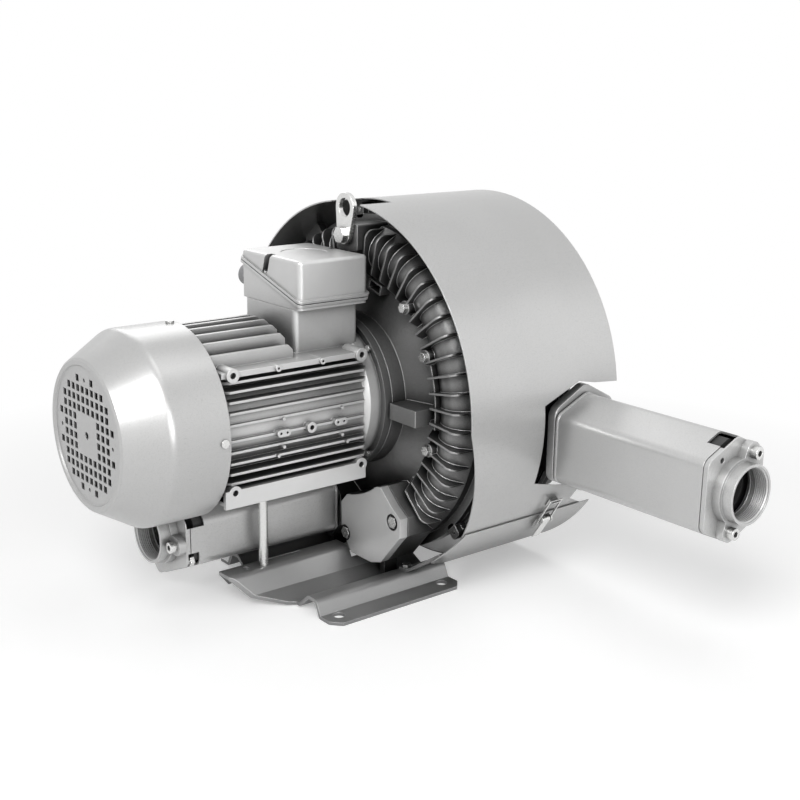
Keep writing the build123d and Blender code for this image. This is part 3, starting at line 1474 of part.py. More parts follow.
for side, name in ((-1, "near"), (1, "far")):
    middle = latch_plane(side, 0)
    with BuildPart() as latch_base:
        with BuildSketch(middle):
            with Locations((-19, 0)):
                Rectangle(22, 2 * ear_t)
        extrude(amount=ear_y + ear_t, both=True)
        for way in (1, -1):
            with BuildSketch(latch_plane(side, way * ear_y)):
                with Locations(latch_pivot):
                    Circle(4)
                with Locations((pivot_x, pivot_z / 2)):
                    Rectangle(8, pivot_z)
                with Locations(latch_pivot):
                    Circle(pivot_r, mode=Mode.SUBTRACT)
            extrude(amount=way * ear_t)
        with BuildSketch(section(latch_x - 20)):
            with Locations((guard_y, guard_rise)):
                Circle(latch_skin)
        extrude(amount=40, mode=Mode.SUBTRACT)
    latch_base.part.label = f"{name}_latch_base"
    export_step(latch_base.part, f"parts/{name}_latch_base.step")

    with BuildPart() as latch_keeper:
        with BuildSketch(middle):
            with Locations((keeper_x - 5, -2)):
                Rectangle(11, 3)
            with Locations((keeper_x, 1.5)):
                Rectangle(1.2, 9)
        extrude(amount=6, both=True)
        with BuildSketch(section(latch_x - 20)):
            with Locations((guard_y, guard_rise)):
                Circle(guard_r)
        extrude(amount=40, mode=Mode.SUBTRACT)
    latch_keeper.part.label = f"{name}_latch_keeper"
    export_step(latch_keeper.part, f"parts/{name}_latch_keeper.step")

    with BuildPart() as latch_lever:
        with BuildSketch(middle):
            with Locations((pivot_x - lever_length / 2, pivot_z + 1.6)):
                Rectangle(lever_length, 1.2)
            with Locations(latch_pivot):
                Circle(3)
        extrude(amount=ear_y - 0.9, both=True)
        with BuildSketch(middle):
            with Locations(bail_pivot):
                Circle(2.4)
        extrude(amount=ear_y - 0.9, both=True)
        with BuildSketch(middle):
            with Locations(latch_pivot):
                Circle(pivot_r + running_clearance)
            with Locations(bail_pivot):
                Circle(bail_wire_r + running_clearance)
        extrude(amount=ear_y, both=True, mode=Mode.SUBTRACT)
    latch_lever.part.label = f"{name}_latch_lever"
    export_step(latch_lever.part, f"parts/{name}_latch_lever.step")

    with BuildPart() as latch_bail:
        for place in (bail_pivot, bar_place):
            with BuildSketch(middle):
                with Locations(place):
                    Circle(bail_wire_r)
            extrude(amount=bail_half_y + bail_wire_r, both=True)
        for way in (1, -1):
            with BuildSketch(latch_plane(side, way * (bail_half_y - bail_wire_r))):
                with BuildLine():
                    leg = Line(bail_pivot, bar_place)
                trace(leg, line_width=2 * bail_wire_r)
            extrude(amount=way * 2 * bail_wire_r)
    latch_bail.part.label = f"{name}_latch_bail"
    export_step(latch_bail.part, f"parts/{name}_latch_bail.step")
    pin_planes.append(middle)

with BuildPart() as latch_pins:
    for place in pin_planes:
        with BuildSketch(place):
            with Locations(latch_pivot):
                Circle(pivot_r)
        extrude(amount=ear_y + ear_t, both=True)
latch_pins.part.label = "latch_pins"
export_step(latch_pins.part, "parts/latch_pins.step")
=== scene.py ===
import math

import bmesh
import bpy
from mathutils import Matrix, Vector


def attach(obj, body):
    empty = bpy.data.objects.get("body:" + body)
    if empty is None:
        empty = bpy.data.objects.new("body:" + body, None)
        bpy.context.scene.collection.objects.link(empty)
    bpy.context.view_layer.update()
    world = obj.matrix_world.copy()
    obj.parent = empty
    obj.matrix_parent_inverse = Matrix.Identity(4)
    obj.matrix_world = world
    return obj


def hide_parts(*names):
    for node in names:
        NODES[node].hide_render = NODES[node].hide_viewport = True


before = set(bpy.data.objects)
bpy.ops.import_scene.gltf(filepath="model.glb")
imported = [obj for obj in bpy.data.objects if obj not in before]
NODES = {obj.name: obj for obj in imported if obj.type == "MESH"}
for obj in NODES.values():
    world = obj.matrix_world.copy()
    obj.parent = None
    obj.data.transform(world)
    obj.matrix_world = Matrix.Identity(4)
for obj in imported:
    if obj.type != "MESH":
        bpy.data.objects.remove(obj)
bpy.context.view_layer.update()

# Camera, matched to the photograph
CAMERA_AZIMUTH = math.radians(-38.9)
CAMERA_ELEVATION = math.radians(15.24)
CAMERA_ROLL = math.radians(0.79)
CAMERA_TARGET = Vector((0.06152, -0.04271, 0.21911))
CAMERA_DISTANCE = 1.50455
CAMERA_LENS = 56.93


def add_camera():
    """Camera at the photograph's viewing angle."""
    back = Vector((
        math.sin(CAMERA_AZIMUTH) * math.cos(CAMERA_ELEVATION),
        -math.cos(CAMERA_AZIMUTH) * math.cos(CAMERA_ELEVATION),
        math.sin(CAMERA_ELEVATION),
    ))
    level = Vector((math.cos(CAMERA_AZIMUTH), math.sin(CAMERA_AZIMUTH), 0))
    up = back.cross(level)
    right = level * math.cos(CAMERA_ROLL) + up * math.sin(CAMERA_ROLL)
    up = back.cross(right)
    data = bpy.data.cameras.new("camera")
    data.sensor_fit = "HORIZONTAL"
    data.sensor_width = 36
    data.lens = CAMERA_LENS
    data.clip_end = 60
    camera = bpy.data.objects.new("camera", data)
    bpy.context.scene.collection.objects.link(camera)
    turn = Matrix((right, up, back)).transposed().to_4x4()
    camera.matrix_world = Matrix.Translation(CAMERA_TARGET + back * CAMERA_DISTANCE) @ turn
    bpy.context.scene.camera = camera


# Materials
CLOUD_SCALE = 14.0
CLOUD_DETAIL = 4.0
# Painted shade in recesses and between parts, from ambient occlusion
RECESS_SHADE_FROM = 0.25
RECESS_SHADE_SAMPLES = 6
EDGE_SAMPLES = 4
EDGE_RADIUS = 0.0009
# Painted highlight on soft edges, mixed towards a lighter tone
EDGE_HIGHLIGHT_LIFT = 1.45
EDGE_HIGHLIGHT_MOST = 0.92
EDGE_HIGHLIGHT = 0.75
EDGE_HIGHLIGHT_TURN = (0.8, 0.985)
ROUGH_SPREAD = 0.07
RELIEF_STRENGTH = 0.35
FLANGE_TONE = (0.3, 0.3, 0.3)
FLANGE_START = (-0.004, 0.001)


def new_material(name):
    """Empty node material with its output and principled shader joined."""
    material = bpy.data.materials.new(name)
    material.use_nodes = True
    tree = material.node_tree
    tree.nodes.clear()
    output = tree.nodes.new("ShaderNodeOutputMaterial")
    shader = tree.nodes.new("ShaderNodeBsdfPrincipled")
    tree.links.new(shader.outputs[0], output.inputs["Surface"])
    return material, tree, shader


def noise(tree, scale, detail=3.0, stretch=(1, 1, 1)):
    """Noise in object coordinates, stretched along the axes."""
    place = tree.nodes.new("ShaderNodeTexCoord")
    mapping = tree.nodes.new("ShaderNodeMapping")
    mapping.inputs["Scale"].default_value = stretch
    tree.links.new(place.outputs["Object"], mapping.inputs["Vector"])
    texture = tree.nodes.new("ShaderNodeTexNoise")
    texture.inputs["Scale"].default_value = scale
    texture.inputs["Detail"].default_value = detail
    tree.links.new(mapping.outputs[0], texture.inputs["Vector"])
    return texture.outputs["Fac"]


def remap(tree, value, low, high, start=0.3, end=0.7):
    """Value moved from start..end to low..high."""
    node = tree.nodes.new("ShaderNodeMapRange")
    node.inputs["From Min"].default_value = start
    node.inputs["From Max"].default_value = end
    node.inputs["To Min"].default_value = low
    node.inputs["To Max"].default_value = high
    tree.links.new(value, node.inputs["Value"])
    return node.outputs[0]


def tint(tree, value, dark, light):
    """Colour that runs from dark to light with a value."""
    node = tree.nodes.new("ShaderNodeMix")
    node.data_type = "RGBA"
    node.inputs["A"].default_value = (*dark, 1)
    node.inputs["B"].default_value = (*light, 1)
    tree.links.new(value, node.inputs["Factor"])
    return node.outputs["Result"]


def metal(name, colour, rough, metallic, spread=0.05, grain=900.0, bump=0.0002, stretch=(1, 1, 1),
          recess_shade=0.35, reach=0.05, shade_open_from=0.85, edge_highlight_tone=None):
    """Surface with a cloudy tone, uneven gloss, fine grain, a painted highlight on soft edges and painted
    shade in recesses.
    """
    material, tree, shader = new_material(name)
    shader.inputs["Metallic"].default_value = metallic
    cloud = noise(tree, CLOUD_SCALE, CLOUD_DETAIL)
    dark = tuple(channel * (1 - spread) for channel in colour)
    light = tuple(min(1.0, channel * (1 + spread)) for channel in colour)
    tone = tint(tree, remap(tree, cloud, 0, 1), dark, light)
    # Painted shade: ambient occlusion multiplies the colour down in recesses, under parts and between parts
    hollow = tree.nodes.new("ShaderNodeAmbientOcclusion")
    hollow.samples = RECESS_SHADE_SAMPLES
    hollow.inputs["Distance"].default_value = reach
    shade = remap(tree, hollow.outputs["AO"], recess_shade, 1.0, RECESS_SHADE_FROM, shade_open_from)
    painted_shade = tree.nodes.new("ShaderNodeMix")
    painted_shade.data_type = "RGBA"
    painted_shade.blend_type = "MULTIPLY"
    painted_shade.inputs["Factor"].default_value = 1.0
    tree.links.new(tone, painted_shade.inputs["A"])
    tree.links.new(shade, painted_shade.inputs["B"])
    edge = tree.nodes.new("ShaderNodeBevel")
    edge.samples = EDGE_SAMPLES
    edge.inputs["Radius"].default_value = EDGE_RADIUS
    surface = tree.nodes.new("ShaderNodeNewGeometry")
    # Painted highlight: where the rounded edge normal turns from the surface normal, the colour is mixed
    # towards a lighter tone
    turned_away = tree.nodes.new("ShaderNodeVectorMath")
    turned_away.operation = "DOT_PRODUCT"
    tree.links.new(edge.outputs[0], turned_away.inputs[0])
    tree.links.new(surface.outputs["Normal"], turned_away.inputs[1])
    highlighted = tree.nodes.new("ShaderNodeMix")
    highlighted.data_type = "RGBA"
    highlight_tone = edge_highlight_tone or min(EDGE_HIGHLIGHT_MOST, colour[0] * EDGE_HIGHLIGHT_LIFT)
    highlighted.inputs["B"].default_value = (highlight_tone, highlight_tone, highlight_tone, 1)
    highlight_mask = remap(tree, turned_away.outputs["Value"], EDGE_HIGHLIGHT, 0.0, *EDGE_HIGHLIGHT_TURN)
    tree.links.new(highlight_mask, highlighted.inputs["Factor"])
    tree.links.new(painted_shade.outputs["Result"], highlighted.inputs["A"])
    tree.links.new(highlighted.outputs["Result"], shader.inputs["Base Color"])
    fine = noise(tree, grain, 2.0, stretch)
    tree.links.new(remap(tree, fine, rough - ROUGH_SPREAD, rough + ROUGH_SPREAD), shader.inputs["Roughness"])
    relief = tree.nodes.new("ShaderNodeBump")
    relief.inputs["Strength"].default_value = RELIEF_STRENGTH
    relief.inputs["Distance"].default_value = bump
    tree.links.new(fine, relief.inputs["Height"])
    tree.links.new(edge.outputs[0], relief.inputs["Normal"])
    tree.links.new(relief.outputs[0], shader.inputs["Normal"])
    return material


def darken_flange(material):
    """Darker tone on the motor's flange, which sits at positive X."""
    tree = material.node_tree
    shader = next(node for node in tree.nodes if node.type == "BSDF_PRINCIPLED")
    base_tone = shader.inputs["Base Color"].links[0].from_socket
    place = tree.nodes.new("ShaderNodeTexCoord")
    split = tree.nodes.new("ShaderNodeSeparateXYZ")
    tree.links.new(place.outputs["Object"], split.inputs[0])
    flange_dark = tree.nodes.new("ShaderNodeMix")
    flange_dark.data_type = "RGBA"
    flange_dark.blend_type = "MULTIPLY"
    flange_dark.inputs["B"].default_value = (*FLANGE_TONE, 1)
    tree.links.new(remap(tree, split.outputs["X"], 0, 1, *FLANGE_START), flange_dark.inputs["Factor"])
    tree.links.new(base_tone, flange_dark.inputs["A"])
    tree.links.new(flange_dark.outputs["Result"], shader.inputs["Base Color"])


CAST_LOOK = {
    "colour": (0.63, 0.63, 0.627), "rough": 0.36, "metallic": 0.55, "grain": 1400.0, "bump": 0.0003,
    "recess_shade": 0.1, "reach": 0.07,
}
CAST = metal("cast_silver", **CAST_LOOK)
# The blower casting's painted shade reaches far and darkens its dish and the gaps between its fins
CAST_ROUGH = metal("cast_rough", (0.46, 0.46, 0.457), 0.36, 0.6, spread=0.08, grain=900.0, bump=0.0005,
                   recess_shade=0.035, reach=0.22, shade_open_from=1.0, edge_highlight_tone=0.85)
SHEET = metal("sheet_silver", (0.48, 0.48, 0.477), 0.32, 0.6, spread=0.02, grain=2200.0, bump=0.0001,
              recess_shade=0.2, reach=0.1)
# Lighter copy of the sheet finish with weaker painted shade: painted light on the silencer sleeves, caps and
# port flanges
LIT_SLEEVE = metal("sleeve_silver_lit", (0.55, 0.55, 0.547), 0.32, 0.55, spread=0.02, grain=2200.0, bump=0.0001,
               recess_shade=0.35, reach=0.03)
PLATE = metal("plate_grey", (0.34, 0.34, 0.34), 0.36, 0.6, spread=0.04, grain=1800.0, bump=0.0002,
              recess_shade=0.4, edge_highlight_tone=0.75)
ZINC = metal("zinc_steel", (0.72, 0.72, 0.71), 0.25, 0.9, spread=0.06, grain=1500.0, bump=0.0001)
LAMINATED = metal("laminated_steel", (0.3, 0.3, 0.3), 0.45, 0.9, grain=700.0, stretch=(6, 1, 1))
COPPER = metal("copper_winding", (0.62, 0.28, 0.14), 0.4, 0.9, spread=0.2, grain=500.0, bump=0.0008)
BLACK = metal("black_plastic", (0.035, 0.035, 0.037), 0.5, 0.0, spread=0.2, grain=1200.0)
GREY_PLASTIC = metal("grey_plastic", (0.32, 0.32, 0.33), 0.45, 0.0, spread=0.08, grain=1200.0)
RUBBER = metal("black_rubber", (0.03, 0.03, 0.03), 0.75, 0.0, spread=0.25, grain=600.0)
FOAM = metal("grey_foam", (0.07, 0.07, 0.07), 0.9, 0.0, spread=0.4, grain=420.0, bump=0.002)
MOTOR = metal("motor_silver", **CAST_LOOK)
darken_flange(MOTOR)

LOOKS = [
    (MOTOR, "motor_housing"),
    (CAST, "fan_end_shield terminal_box_base terminal_box_lid port_cover"),
    (CAST_ROUGH, "middle_casing impeller_stage_1 impeller_stage_2"),
    (SHEET, "fan_cowl guard_upper_shell guard_lower_tray guard_brackets"),
    (LIT_SLEEVE, "inlet_port_flange outlet_port_flange"),
    (PLATE, "base_plate foot_brackets"),
    (ZINC, "support_rod bracket_bolts cowl_screws motor_flange_bolts lid_screws casing_bolts lug_bolt "
           "port_cover_bolts inlet_flange_bolts outlet_flange_bolts silencer_mount_bolts near_latch_base "
           "near_latch_keeper near_latch_lever near_latch_bail far_latch_base far_latch_keeper "
           "far_latch_lever far_latch_bail latch_pins rotor_shaft impeller_spacer impeller_nut "
           "fan_end_bearing drive_end_bearing"),
    (LAMINATED, "stator_core rotor_core"),
    (COPPER, "stator_windings"),
    (BLACK, "cooling_fan terminal_block"),
    (GREY_PLASTIC, "cable_gland"),
    (RUBBER, "lid_gasket port_cover_gasket front_shaft_seal middle_shaft_seal"),
]


def dress_nodes():
    """Gives each CAD node that stays in view its material."""
    for material, names in LOOKS:
        for name in names.split():
            node = NODES[name]
            node.data.materials.clear()
            node.data.materials.append(material)


# Shapes made in the scene, written in millimetres
MM = 0.001
AXIS_Z = 232.0
SHARP_ANGLE = math.radians(32)


def turned(radius, degrees):
    """Point of a section across the motor axis: 0 degrees is +Y and 90 is up."""
    return radius * math.cos(math.radians(degrees)), radius * math.sin(math.radians(degrees))


def arc(centre, radius, first, last, steps=8):
    """Points along an arc, in degrees."""
    angles = [first + (last - first) * k / steps for k in range(steps + 1)]
    return [(centre[0] + turned(radius, a)[0], centre[1] + turned(radius, a)[1]) for a in angles]


def rounded(corners, radius, steps=6):
    """Closed outline with every corner rounded."""
    outline = []
    for k, corner in enumerate(corners):
        here = Vector(corner)
        before = (Vector(corners[k - 1]) - here).normalized()
        after = (Vector(corners[(k + 1) % len(corners)]) - here).normalized()
        half = before.angle(after) / 2
        middle = here + (before + after).normalized() * radius / math.sin(half)
        one = here + before * radius / math.tan(half) - middle
        two = here + after * radius / math.tan(half) - middle
        sweep = one.angle_signed(two)
        for step in range(steps + 1):
            outline.append(tuple(middle + Matrix.Rotation(-sweep * step / steps, 2) @ one))
    return outline


def rectangle(left, bottom, right, top):
    """Outline of a rectangle."""
    return [(left, bottom), (right, bottom), (right, top), (left, top)]


def add_prism(mesh, outline, place, low, high):
    """Closed prism of an outline between two heights of a placing matrix."""
    bottom = [mesh.verts.new(place @ Vector((x, y, low))) for x, y in outline]
    top = [mesh.verts.new(place @ Vector((x, y, high))) for x, y in outline]
    mesh.faces.new(list(reversed(bottom)))
    mesh.faces.new(top)
    for k in range(len(outline)):
        after = (k + 1) % len(outline)
        mesh.faces.new((bottom[k], bottom[after], top[after], top[k]))


def add_ring(mesh, profile, place, steps=144):
    """Closed profile of (height, radius) points turned about the z axis of a placing matrix."""
    rings = []
    for k in range(steps):
        turn = Matrix.Rotation(2 * math.pi * k / steps, 4, "Z")
        rings.append([mesh.verts.new(place @ turn @ Vector((r, 0, h))) for h, r in profile])
    for k in range(steps):
        here, after = rings[k], rings[(k + 1) % steps]
        for p in range(len(profile)):
            q = (p + 1) % len(profile)
            mesh.faces.new((here[p], after[p], after[q], here[q]))
    bmesh.ops.remove_doubles(mesh, verts=[v for ring in rings for v in ring], dist=1e-4)
    bmesh.ops.delete(mesh, geom=[e for e in mesh.edges if not e.link_faces], context="EDGES")


def placing(origin, x_dir, z_dir):
    """Matrix of a local frame in millimetres."""
    x = Vector(x_dir)
    z = Vector(z_dir)
    turn = Matrix((x, z.cross(x), z)).transposed().to_4x4()
    return Matrix.Translation(Vector(origin)) @ turn


def new_piece(name, mesh, material, bevel=0.0, replaces=()):
    """Object of a bmesh, in metres, that rides with the machine."""
    bmesh.ops.scale(mesh, vec=(MM, MM, MM), verts=mesh.verts)
    bmesh.ops.recalc_face_normals(mesh, faces=mesh.faces)
    data = bpy.data.meshes.new(name)
    mesh.to_mesh(data)
    mesh.free()
    data.materials.append(material)
    piece = bpy.data.objects.new(name, data)
    bpy.context.scene.collection.objects.link(piece)
    finish_mesh(piece, bevel)
    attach(piece, "frame")
    if replaces:
        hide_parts(*replaces)
    return piece


def smooth(mesh):
    """Smooth shading with sharp edges kept."""
    for face in mesh.polygons:
        face.use_smooth = True
    mesh.set_sharp_from_angle(angle=SHARP_ANGLE)


def finish_mesh(piece, bevel):
    """Smooth shading, and rounded edges where a width is given."""
    smooth(piece.data)
    if bevel:
        edge = piece.modifiers.new("edges", "BEVEL")
        edge.width = bevel * MM
        edge.segments = 2
        edge.limit_method = "ANGLE"
        edge.angle_limit = SHARP_ANGLE
        edge.harden_normals = True


def cut(piece, tools):
    """Takes prisms out of a piece: each tool is an outline, a placing matrix and two heights."""
    cutter = bmesh.new()
    for outline, place, low, high in tools:
        add_prism(cutter, outline, place, low, high)
    bmesh.ops.scale(cutter, vec=(MM, MM, MM), verts=cutter.verts)
    bmesh.ops.recalc_face_normals(cutter, faces=cutter.faces)
    data = bpy.data.meshes.new("cutter")
    cutter.to_mesh(data)
    cutter.free()
    tool = bpy.data.objects.new("cutter", data)
    bpy.context.scene.collection.objects.link(tool)
    step = piece.modifiers.new("cut", "BOOLEAN")
    step.object = tool
    step.operation = "DIFFERENCE"
    step.solver = "EXACT"
    step.use_self = True
    piece.modifiers.move(len(piece.modifiers) - 1, 0)
    others = [m for m in piece.modifiers if m != step]
    shown = [m.show_viewport for m in others]
    for modifier in others:
        modifier.show_viewport = False
    graph = bpy.context.evaluated_depsgraph_get()
    result = bpy.data.meshes.new_from_object(piece.evaluated_get(graph), depsgraph=graph)
    for modifier, seen in zip(others, shown):
        modifier.show_viewport = seen
    piece.modifiers.remove(step)
    old = piece.data
    piece.data = result
    result.name = old.name
    bpy.data.meshes.remove(old)
    bpy.data.objects.remove(tool)
    bpy.data.meshes.remove(data)
    smooth(result)


ACROSS = placing((0, 0, AXIS_Z), (0, 1, 0), (1, 0, 0))
LEVEL = placing((0, 0, 0), (0, 1, 0), (1, 0, 0))

# Silencers
SIDE_HALF = 46.8
SHOULDER = 37.7
RIDGE = 58.7
SECTION_ROUND = 12.0
SILENCER_LENGTH = 210.0
SILENCER_WALL = 2.5
BORE_R = 29.8
HEM = (0.1, 2.6)
HEM_OUT = 1.2
WINDOW = (-21, 38, 5, 70)
WINDOW_DEPTH = 23
NOTCH_HALF = 14
NOTCH_DEPTH = 16
NOTCH_BOLT_INSET = 7
CAP_DEPTH = 6.0
CAP_INSET = 0.9
CAP_SEAT = 0.4
CAP_HOLE = (-24, 36)
CAP_HOLE_R = 3
FOAM_GAP = 3
FOAM_START = 8
FOAM_STOP = 12
GASKET_INSET = 0.8
GASKET_T = 1.5
COLLAR_LENGTH = 21
THREAD_PITCH = 2.3
THREAD_RIDGES = 7
THREAD_WALL_R = 29.75
THREAD_ROOT_R = 29.5
THREAD_CREST_R = 28.3
INNER_RING = (29.7, 27)
INNER_RING_T = 2.5
INLET_ROLL = math.radians(24.2)
OUTLET_ROOT = placing((189.5, -222, 189), (1, 0, 0), (0, -1, 0))
INLET_ROOT = placing((10.5, 66.5, 79), (0, -math.sin(INLET_ROLL), -math.cos(INLET_ROLL)), (-1, 0, 0))

# Blower casings
STAGE_1 = 67.0
STAGE_2 = 173.0
HUB_BORE_R = 40
DISH_X = 10.6
DISH_R = 92
DISH_STEP_X = 30
DISH_EDGE_X = 41
DISH_EDGE_R = 132
CHANNEL_X = 53.0
CHANNEL_MEAN_R = 165.0
CHANNEL_OUTER = 25.0
BULGE_TOP_X = 50
BULGE_TOP_R = 193
FLANGE_BACK = 59
FLANGE_R = 203
SPIGOT_X = CHANNEL_X - 0.5
SPIGOT_R = 191.6
FIN_COUNT = 54
FIN_PHASE = 4.33
FIN_TURNS = [FIN_PHASE + k * 360 / FIN_COUNT for k in range(FIN_COUNT)]
FIN_FACE = 21.0
FIN_FOOT_R = 145
FIN_TIP_R = 192.0
FIN_ROUND = 11.0
FIN_HALF = 1.3
FIN_ROOT = [(FLANGE_BACK, 150), (45, 128)]
BLOCK_SPAN = (232, 308)
LUG_SPAN = (85, 95)
NOZZLE_SPAN = (176, 215)
JOINT_TURNS = (20, 80, 140, 225, 270, 320)
EAR_CIRCLE_R = 206
EAR = (-8, -7.5, 10.5, 7.5)
EAR_ROUND = 5
BOSS_TURNS = (155, 131, -163)
BOSS_CIRCLE_R = 148
BOSS_R = 8
BOSS_X = (22, 48)
BLOCK_TOP_R = 126
BLOCK_TOP_Y = (21, 35, 50, 64, 77)
BLOCK_EDGE = [(85, 134), (105, 116), (122, 105), (122, 82), (116, 76), (87, 42), (69, 36), (29, 36), (20, 48),
              (10, 57), (9, 95)]
BLOCK_X = (12, 50)
BLOCK_FOOT_Y = 52
BLOCK_FOOT_HALF = 4
BLOCK_FOOT_Z = (5.5, 45)
BLOCK_FOOT_X = (30, 50)
SIDE_RIB = (-140, -15, -94, 4)
SIDE_RIB_X = (5, 40)
LUG_BLOCK = (-20, 165, 20, 196)
LUG_BLOCK_ROUND = 3
LUG_BLOCK_X = (14, FLANGE_BACK)
POCKET_R = 132
POCKET_TURN = 107
POCKET = (-6, -12, 6, 12)
POCKET_ROUND = 1.5
POCKET_X = (25, 46)
POCKET_HOLLOW = (-4, -9.5, 4, 9.5)
POCKET_HOLLOW_X = (24, 42)
LIP_TURNS = (159, 187)
LIP_R = (149.5, 151.5)
LIP_X = (24.5, 46)
REAR_CAP_X = 212
REAR_CAP_R = 45
REAR_DISH_X = 206
REAR_STEP_R = 50
NOZZLE = (-27, -40, 23, 40)
NOZZLE_DEPTH = (-61, -5)
ROOT_PLATE_DEPTH = (-12.5, -1.5)
ROOT_PLATE_RISE = 9.0

# Lifting lug
LUG_EYE = (-3, 214.5)
LUG_FOOT = (0, 183)
LUG_R = 17
LUG_FOOT_R = 11.5
LUG_HOLE_R = 10.5
LUG_X = (8, 14)


def mirror(x):
    """Place along the axis, moved from the front casing to the rear one."""
    return STAGE_1 + STAGE_2 - x


def bulge():
    """Outer section of a side channel, from the dish to the joint flange."""
    return arc((CHANNEL_X, CHANNEL_MEAN_R), CHANNEL_OUTER, 250, 120, 14) + [
        (BULGE_TOP_X, BULGE_TOP_R), (FLANGE_BACK, BULGE_TOP_R), (FLANGE_BACK, FLANGE_R), (STAGE_1, FLANGE_R),
        (STAGE_1, SPIGOT_R), (SPIGOT_X, SPIGOT_R),
    ]


def fin_outline():
    """Outline of a cooling fin as (x, radius) points."""
    corner = (FIN_FACE + FIN_ROUND, FIN_TIP_R - FIN_ROUND)
    return [(FIN_FACE, FIN_FOOT_R)] + arc(corner, FIN_ROUND, 180, 90) + [(FLANGE_BACK, FIN_TIP_R)] + FIN_ROOT


def add_fins(mesh, moved, *spans):
    """Radial fins of an end casing, left out where a span of degrees holds something else."""
    outline = [(moved(x), r) for x, r in fin_outline()]
    for turn in FIN_TURNS:
        if not any(first < turn < last for first, last in spans):
            y, z = turned(1, turn)
            add_prism(mesh, outline, placing((0, 0, AXIS_Z), (1, 0, 0), (0, -z, y)), -FIN_HALF, FIN_HALF)


def across_at(radius, turn):
    """Placing matrix at a point of the section, with its x axis pointing outwards."""
    y, z = turned(radius, turn)
    return placing((0, y, AXIS_Z + z), (0, *turned(1, turn)), (1, 0, 0))


def add_ears(mesh, low, high):
    """Ears of a joint flange."""
    for turn in JOINT_TURNS:
        add_prism(mesh, rounded(rectangle(*EAR), EAR_ROUND), across_at(EAR_CIRCLE_R, turn), low, high)


def port_block(side):
    """Outline of a port block, on the side of +Y (1) or -Y (-1)."""
    top = [(side * y, AXIS_Z - math.sqrt(BLOCK_TOP_R**2 - y**2)) for y in BLOCK_TOP_Y]
    return top + [(side * y, z) for y, z in BLOCK_EDGE]


def make_front_casing():
    """Casting between the motor and the first impeller, with its port blocks and lug block."""
    mesh = bmesh.new()
    dish = [(DISH_X, HUB_BORE_R), (DISH_X, DISH_R), (DISH_STEP_X, DISH_R), (DISH_EDGE_X, DISH_EDGE_R)]
    add_ring(mesh, dish + bulge() + [(SPIGOT_X, HUB_BORE_R)], ACROSS)
    add_fins(mesh, lambda x: x, BLOCK_SPAN, LUG_SPAN)
    add_ears(mesh, FLANGE_BACK, STAGE_1)
    for side in (1, -1):
        add_prism(mesh, port_block(side), LEVEL, *BLOCK_X)
        middle = side * BLOCK_FOOT_Y
        low, high = BLOCK_FOOT_Z
        foot = rectangle(middle - BLOCK_FOOT_HALF, low, middle + BLOCK_FOOT_HALF, high)
        add_prism(mesh, foot, LEVEL, *BLOCK_FOOT_X)
    add_prism(mesh, rectangle(*SIDE_RIB), ACROSS, *SIDE_RIB_X)
    add_prism(mesh, rounded(rectangle(*LUG_BLOCK), LUG_BLOCK_ROUND), ACROSS, *LUG_BLOCK_X)
    for turn in BOSS_TURNS:
        add_prism(mesh, arc(turned(BOSS_CIRCLE_R, turn), BOSS_R, 0, 345, 23), ACROSS, *BOSS_X)
    new_piece("front_casing_shell", mesh, CAST_ROUGH, 0.6, ["front_casing"])


def make_dish_details():
    """Pocket and lip cast on the dish of the front casing."""
    mesh = bmesh.new()
    place = across_at(POCKET_R, POCKET_TURN)
    add_prism(mesh, rounded(rectangle(*POCKET), POCKET_ROUND, 3), place, *POCKET_X)
    pocket = new_piece("dish_pocket", mesh, CAST_ROUGH, 0.4)
    cut(pocket, [(rectangle(*POCKET_HOLLOW), place, *POCKET_HOLLOW_X)])
    mesh = bmesh.new()
    first, last = LIP_TURNS
    inner, outer = LIP_R
    lip = arc((0, 0), outer, first, last, 14) + arc((0, 0), inner, last, first, 14)
    add_prism(mesh, lip, ACROSS, *LIP_X)
    new_piece("dish_lip", mesh, CAST_ROUGH, 0.4)


def make_rear_casing():
    """Casting behind the second impeller, with the outlet nozzle and its six-sided plate."""
    mesh = bmesh.new()
    dish = [
        (REAR_CAP_X, 0), (REAR_CAP_X, REAR_CAP_R), (REAR_DISH_X, REAR_STEP_R), (REAR_DISH_X, DISH_R),
        (mirror(DISH_EDGE_X), DISH_EDGE_R),
    ]
    profile = dish + [(mirror(x), r) for x, r in bulge()] + [(mirror(SPIGOT_X), 0)]
    add_ring(mesh, profile, ACROSS)
    add_fins(mesh, mirror, NOZZLE_SPAN)
    add_ears(mesh, STAGE_2, mirror(FLANGE_BACK))
    add_prism(mesh, rectangle(*NOZZLE), OUTLET_ROOT, *NOZZLE_DEPTH)
    new_piece("rear_casing_shell", mesh, CAST_ROUGH, 0.6, ["rear_casing"])
    mesh = bmesh.new()
    plate = [(x, y + max(0, y) / RIDGE * ROOT_PLATE_RISE) for x, y in silencer_section(-1)]
    add_prism(mesh, plate, OUTLET_ROOT, *ROOT_PLATE_DEPTH)
    new_piece("outlet_root_plate", mesh, CAST, 0.8)


def silencer_section(inset=0.0):
    """Six-sided section of a silencer, moved inwards by an inset."""
    slope = (RIDGE - SHOULDER) / SIDE_HALF
    stretch = math.sqrt(1 + slope**2)
    side = SIDE_HALF - inset
    shoulder = SHOULDER - inset * (stretch - slope)
    ridge = RIDGE - inset * stretch
    corners = [
        (side, -shoulder), (side, shoulder), (0, ridge), (-side, shoulder), (-side, -shoulder), (0, -ridge),
    ]
    return rounded(corners, SECTION_ROUND - inset)


